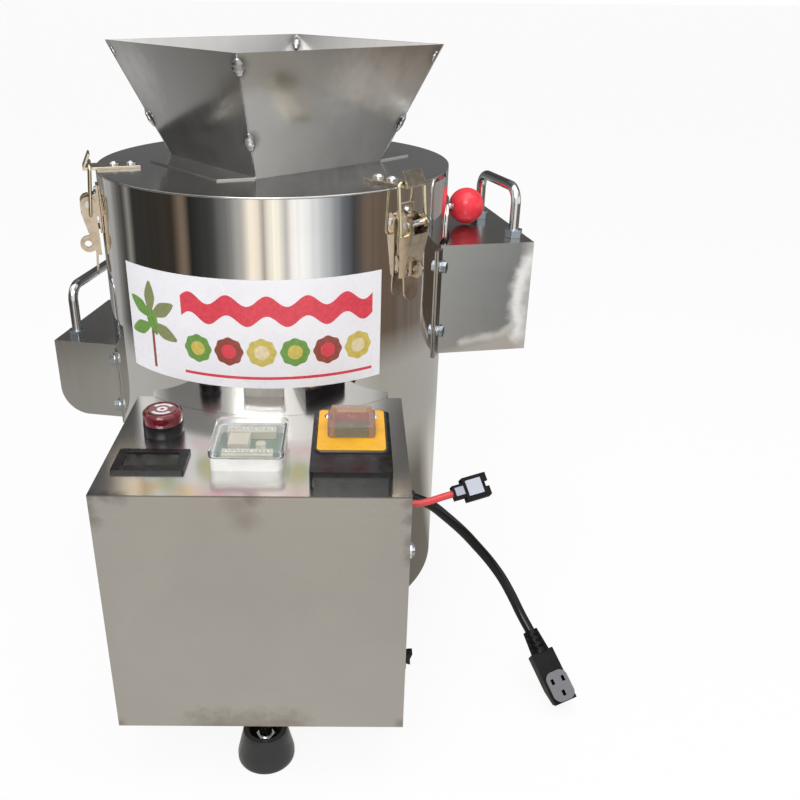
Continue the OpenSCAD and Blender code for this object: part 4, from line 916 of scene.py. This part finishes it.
def cluttered(colours):
    """Upright streaks of shade, as from shelves and door frames."""
    narrow = room.nodes.new("ShaderNodeMath")
    narrow.operation = "MULTIPLY"
    narrow.inputs[1].default_value = 70
    room.links.new(bearing(), narrow.inputs[0])
    clutter = room.nodes.new("ShaderNodeTexNoise")
    clutter.noise_dimensions = "1D"
    clutter.inputs["Scale"].default_value = 1.0
    clutter.inputs["Detail"].default_value = 3.0
    room.links.new(narrow.outputs["Value"], clutter.inputs["W"])
    streaked = room.nodes.new("ShaderNodeMix")
    streaked.data_type = "RGBA"
    streaked.blend_type = "MULTIPLY"
    streaked.inputs[0].default_value = 1.0
    room.links.new(colours, streaked.inputs[6])
    shade = ramp(workshop, clutter.outputs["Fac"], [(0.35, 0.86), (0.6, 1.0)])
    room.links.new(shade, streaked.inputs[7])
    return streaked.outputs[2]


walls = cluttered(round_about([
    (-180, (0.03, 0.03, 0.027)), (-150, (0.04, 0.032, 0.026)), (-143, (0.2, 0.15, 0.11)), (-138, 0.02),
    (-124, 0.05), (-112, (0.24, 0.24, 0.23)), (-106, (0.5, 0.48, 0.45)), (-101, (0.95, 0.85, 0.72)),
    (-96, (0.95, 0.85, 0.72)), (-93, (0.4, 0.36, 0.32)), (-89, (1.0, 0.95, 0.82)),
    (-84, (1.0, 0.95, 0.82)), (-80, (0.5, 0.48, 0.46)), (-76, (1.0, 0.97, 0.93)),
    (-66, (0.9, 0.91, 0.92)), (-56, (0.5, 0.52, 0.53)), (-46, (0.18, 0.19, 0.21)),
    (-38, (0.05, 0.055, 0.06)), (-30, (0.15, 0.11, 0.085)), (-12, (0.13, 0.095, 0.07)),
    (-2, (0.15, 0.12, 0.1)), (26, (0.18, 0.15, 0.13)), (44, (0.3, 0.28, 0.27)), (70, 0.2), (110, 0.16),
    (132, 0.2), (139, 0.4), (150, 0.36), (157, (0.18, 0.17, 0.16)), (166, (0.05, 0.05, 0.045)),
    (172, (0.25, 0.24, 0.22)), (177, (0.03, 0.03, 0.027))]))
# The mirrored floor close to the machine is darkest to its right: painted shade of the machine on the floor.
near_floor = round_about([
    (-180, (0.25, 0.24, 0.22)), (-140, (0.3, 0.29, 0.27)), (-110, (0.6, 0.58, 0.55)),
    (-60, (0.6, 0.58, 0.55)), (-40, (0.3, 0.29, 0.26)), (-20, (0.14, 0.13, 0.11)),
    (15, (0.14, 0.13, 0.11)), (35, (0.5, 0.48, 0.45)), (180, (0.25, 0.24, 0.22))])
far_floor = round_about([
    (-180, (0.4, 0.39, 0.37)), (-140, (0.35, 0.34, 0.32)), (-110, (0.6, 0.58, 0.55)),
    (-50, (0.5, 0.48, 0.45)), (-20, (0.34, 0.33, 0.3)), (40, (0.36, 0.35, 0.33)), (110, 0.4),
    (146, (0.38, 0.38, 0.37)), (180, (0.4, 0.39, 0.37))])
low_wall = round_about([
    (-180, 0.08), (-130, 0.1), (-100, (0.8, 0.78, 0.74)), (-60, (0.8, 0.78, 0.74)), (-36, 0.7),
    (-6, 0.95), (10, 0.5), (60, 0.15), (180, 0.08)])
high_wall = round_about([
    (-180, (0.7, 0.7, 0.69)), (-165, 0.2), (-130, 0.2), (-110, (0.95, 0.95, 0.93)),
    (-90, (1.0, 1.0, 0.98)), (-60, 0.8), (-22, 0.5), (-9, 0.05), (50, 0.05), (157, 0.05),
    (161, (0.95, 0.94, 0.92)), (180, (0.95, 0.94, 0.92))])
roof = round_about([
    (-180, (0.95, 0.94, 0.92)), (-150, 0.6), (-90, (1.0, 1.0, 0.98)), (-60, (0.85, 0.85, 0.86)),
    (-5, 1.0), (1, 0.3), (40, 0.25), (157, 0.05), (163, (0.95, 0.94, 0.92)), (180, (0.95, 0.94, 0.92))])


def over(low, high, value, start, end):
    """Goes from one set of colours to another as a value rises."""
    rise = room.nodes.new("ShaderNodeMapRange")
    rise.inputs["From Min"].default_value = start
    rise.inputs["From Max"].default_value = end
    room.links.new(value, rise.inputs["Value"])
    blend = room.nodes.new("ShaderNodeMix")
    blend.data_type = "RGBA"
    room.links.new(rise.outputs["Result"], blend.inputs[0])
    room.links.new(low, blend.inputs[6])
    room.links.new(high, blend.inputs[7])
    return blend.outputs[2]


size = room.nodes.new("ShaderNodeMapping")
size.inputs["Scale"].default_value = (0.6, 0.6, 0.6)
room.links.new(spot.outputs["Object"], size.inputs["Vector"])
inwards = room.nodes.new("ShaderNodeTexGradient")
inwards.gradient_type = "SPHERICAL"
room.links.new(size.outputs["Vector"], inwards.inputs["Vector"])
height = room.nodes.new("ShaderNodeSeparateXYZ")
room.links.new(spot.outputs["Object"], height.inputs["Vector"])
seen = over(walls, far_floor, inwards.outputs["Fac"], 0.46, 0.56)
seen = over(seen, near_floor, inwards.outputs["Fac"], 0.7, 0.78)
seen = over(seen, low_wall, height.outputs["Z"], 0.11, 0.17)
seen = over(seen, high_wall, height.outputs["Z"], 0.9, 1.3)
seen = over(seen, roof, height.outputs["Z"], 1.7, 1.9)
room.links.new(seen, workshop_light.inputs["Color"])
workshop_light.inputs["Strength"].default_value = 1.25
workshop.cycles.emission_sampling = "NONE"
room_profile = [(0.02, 0.002), (0.5, 0.002), (0.95, 0.002), (1.5, 0.01), (2.0, 0.25), (2.3, 1.0), (2.4, 2.4),
                (1.9, 3.2), (1.0, 3.6), (0.02, 3.7)]
bowl("workshop", room_profile, workshop)

world = bpy.data.worlds.new("surround")
bpy.context.scene.world = world
world.use_nodes = True
sky = world.node_tree
lit = sky.nodes["Background"]
lit.inputs["Color"].default_value = (1, 1, 1, 1)
lit.inputs["Strength"].default_value = 0.6
blank_sky = sky.nodes.new("ShaderNodeBackground")
blank_sky.inputs["Color"].default_value = (1, 1, 1, 1)
either_sky = sky.nodes.new("ShaderNodeMixShader")
sky.links.new(shows(sky), either_sky.inputs["Fac"])
sky.links.new(lit.outputs["Background"], either_sky.inputs[1])
sky.links.new(blank_sky.outputs["Background"], either_sky.inputs[2])
sky.links.new(either_sky.outputs["Shader"], sky.nodes["World Output"].inputs["Surface"])


def lamp(name, place, aim, size, power):
    """A soft rectangular lamp, in metres and watts."""
    light = bpy.data.lights.new(name, "AREA")
    light.shape = "RECTANGLE"
    light.size, light.size_y = size
    light.energy = power
    holder = bpy.data.objects.new(name, light)
    bpy.context.scene.collection.objects.link(holder)
    holder.location = place
    holder.rotation_euler = (Vector(aim) - Vector(place)).to_track_quat("-Z", "Y").to_euler()


lamp("lamp_top", (0.2, -0.3, 1.9), aim=(0, 0, 0.2), size=(1.6, 1.2), power=12)
lamp("lamp_front", (-0.3, -1.5, 1.5), aim=(0, 0, 0.3), size=(1.0, 0.8), power=13)
bpy.context.scene.view_settings.view_transform = "Standard"
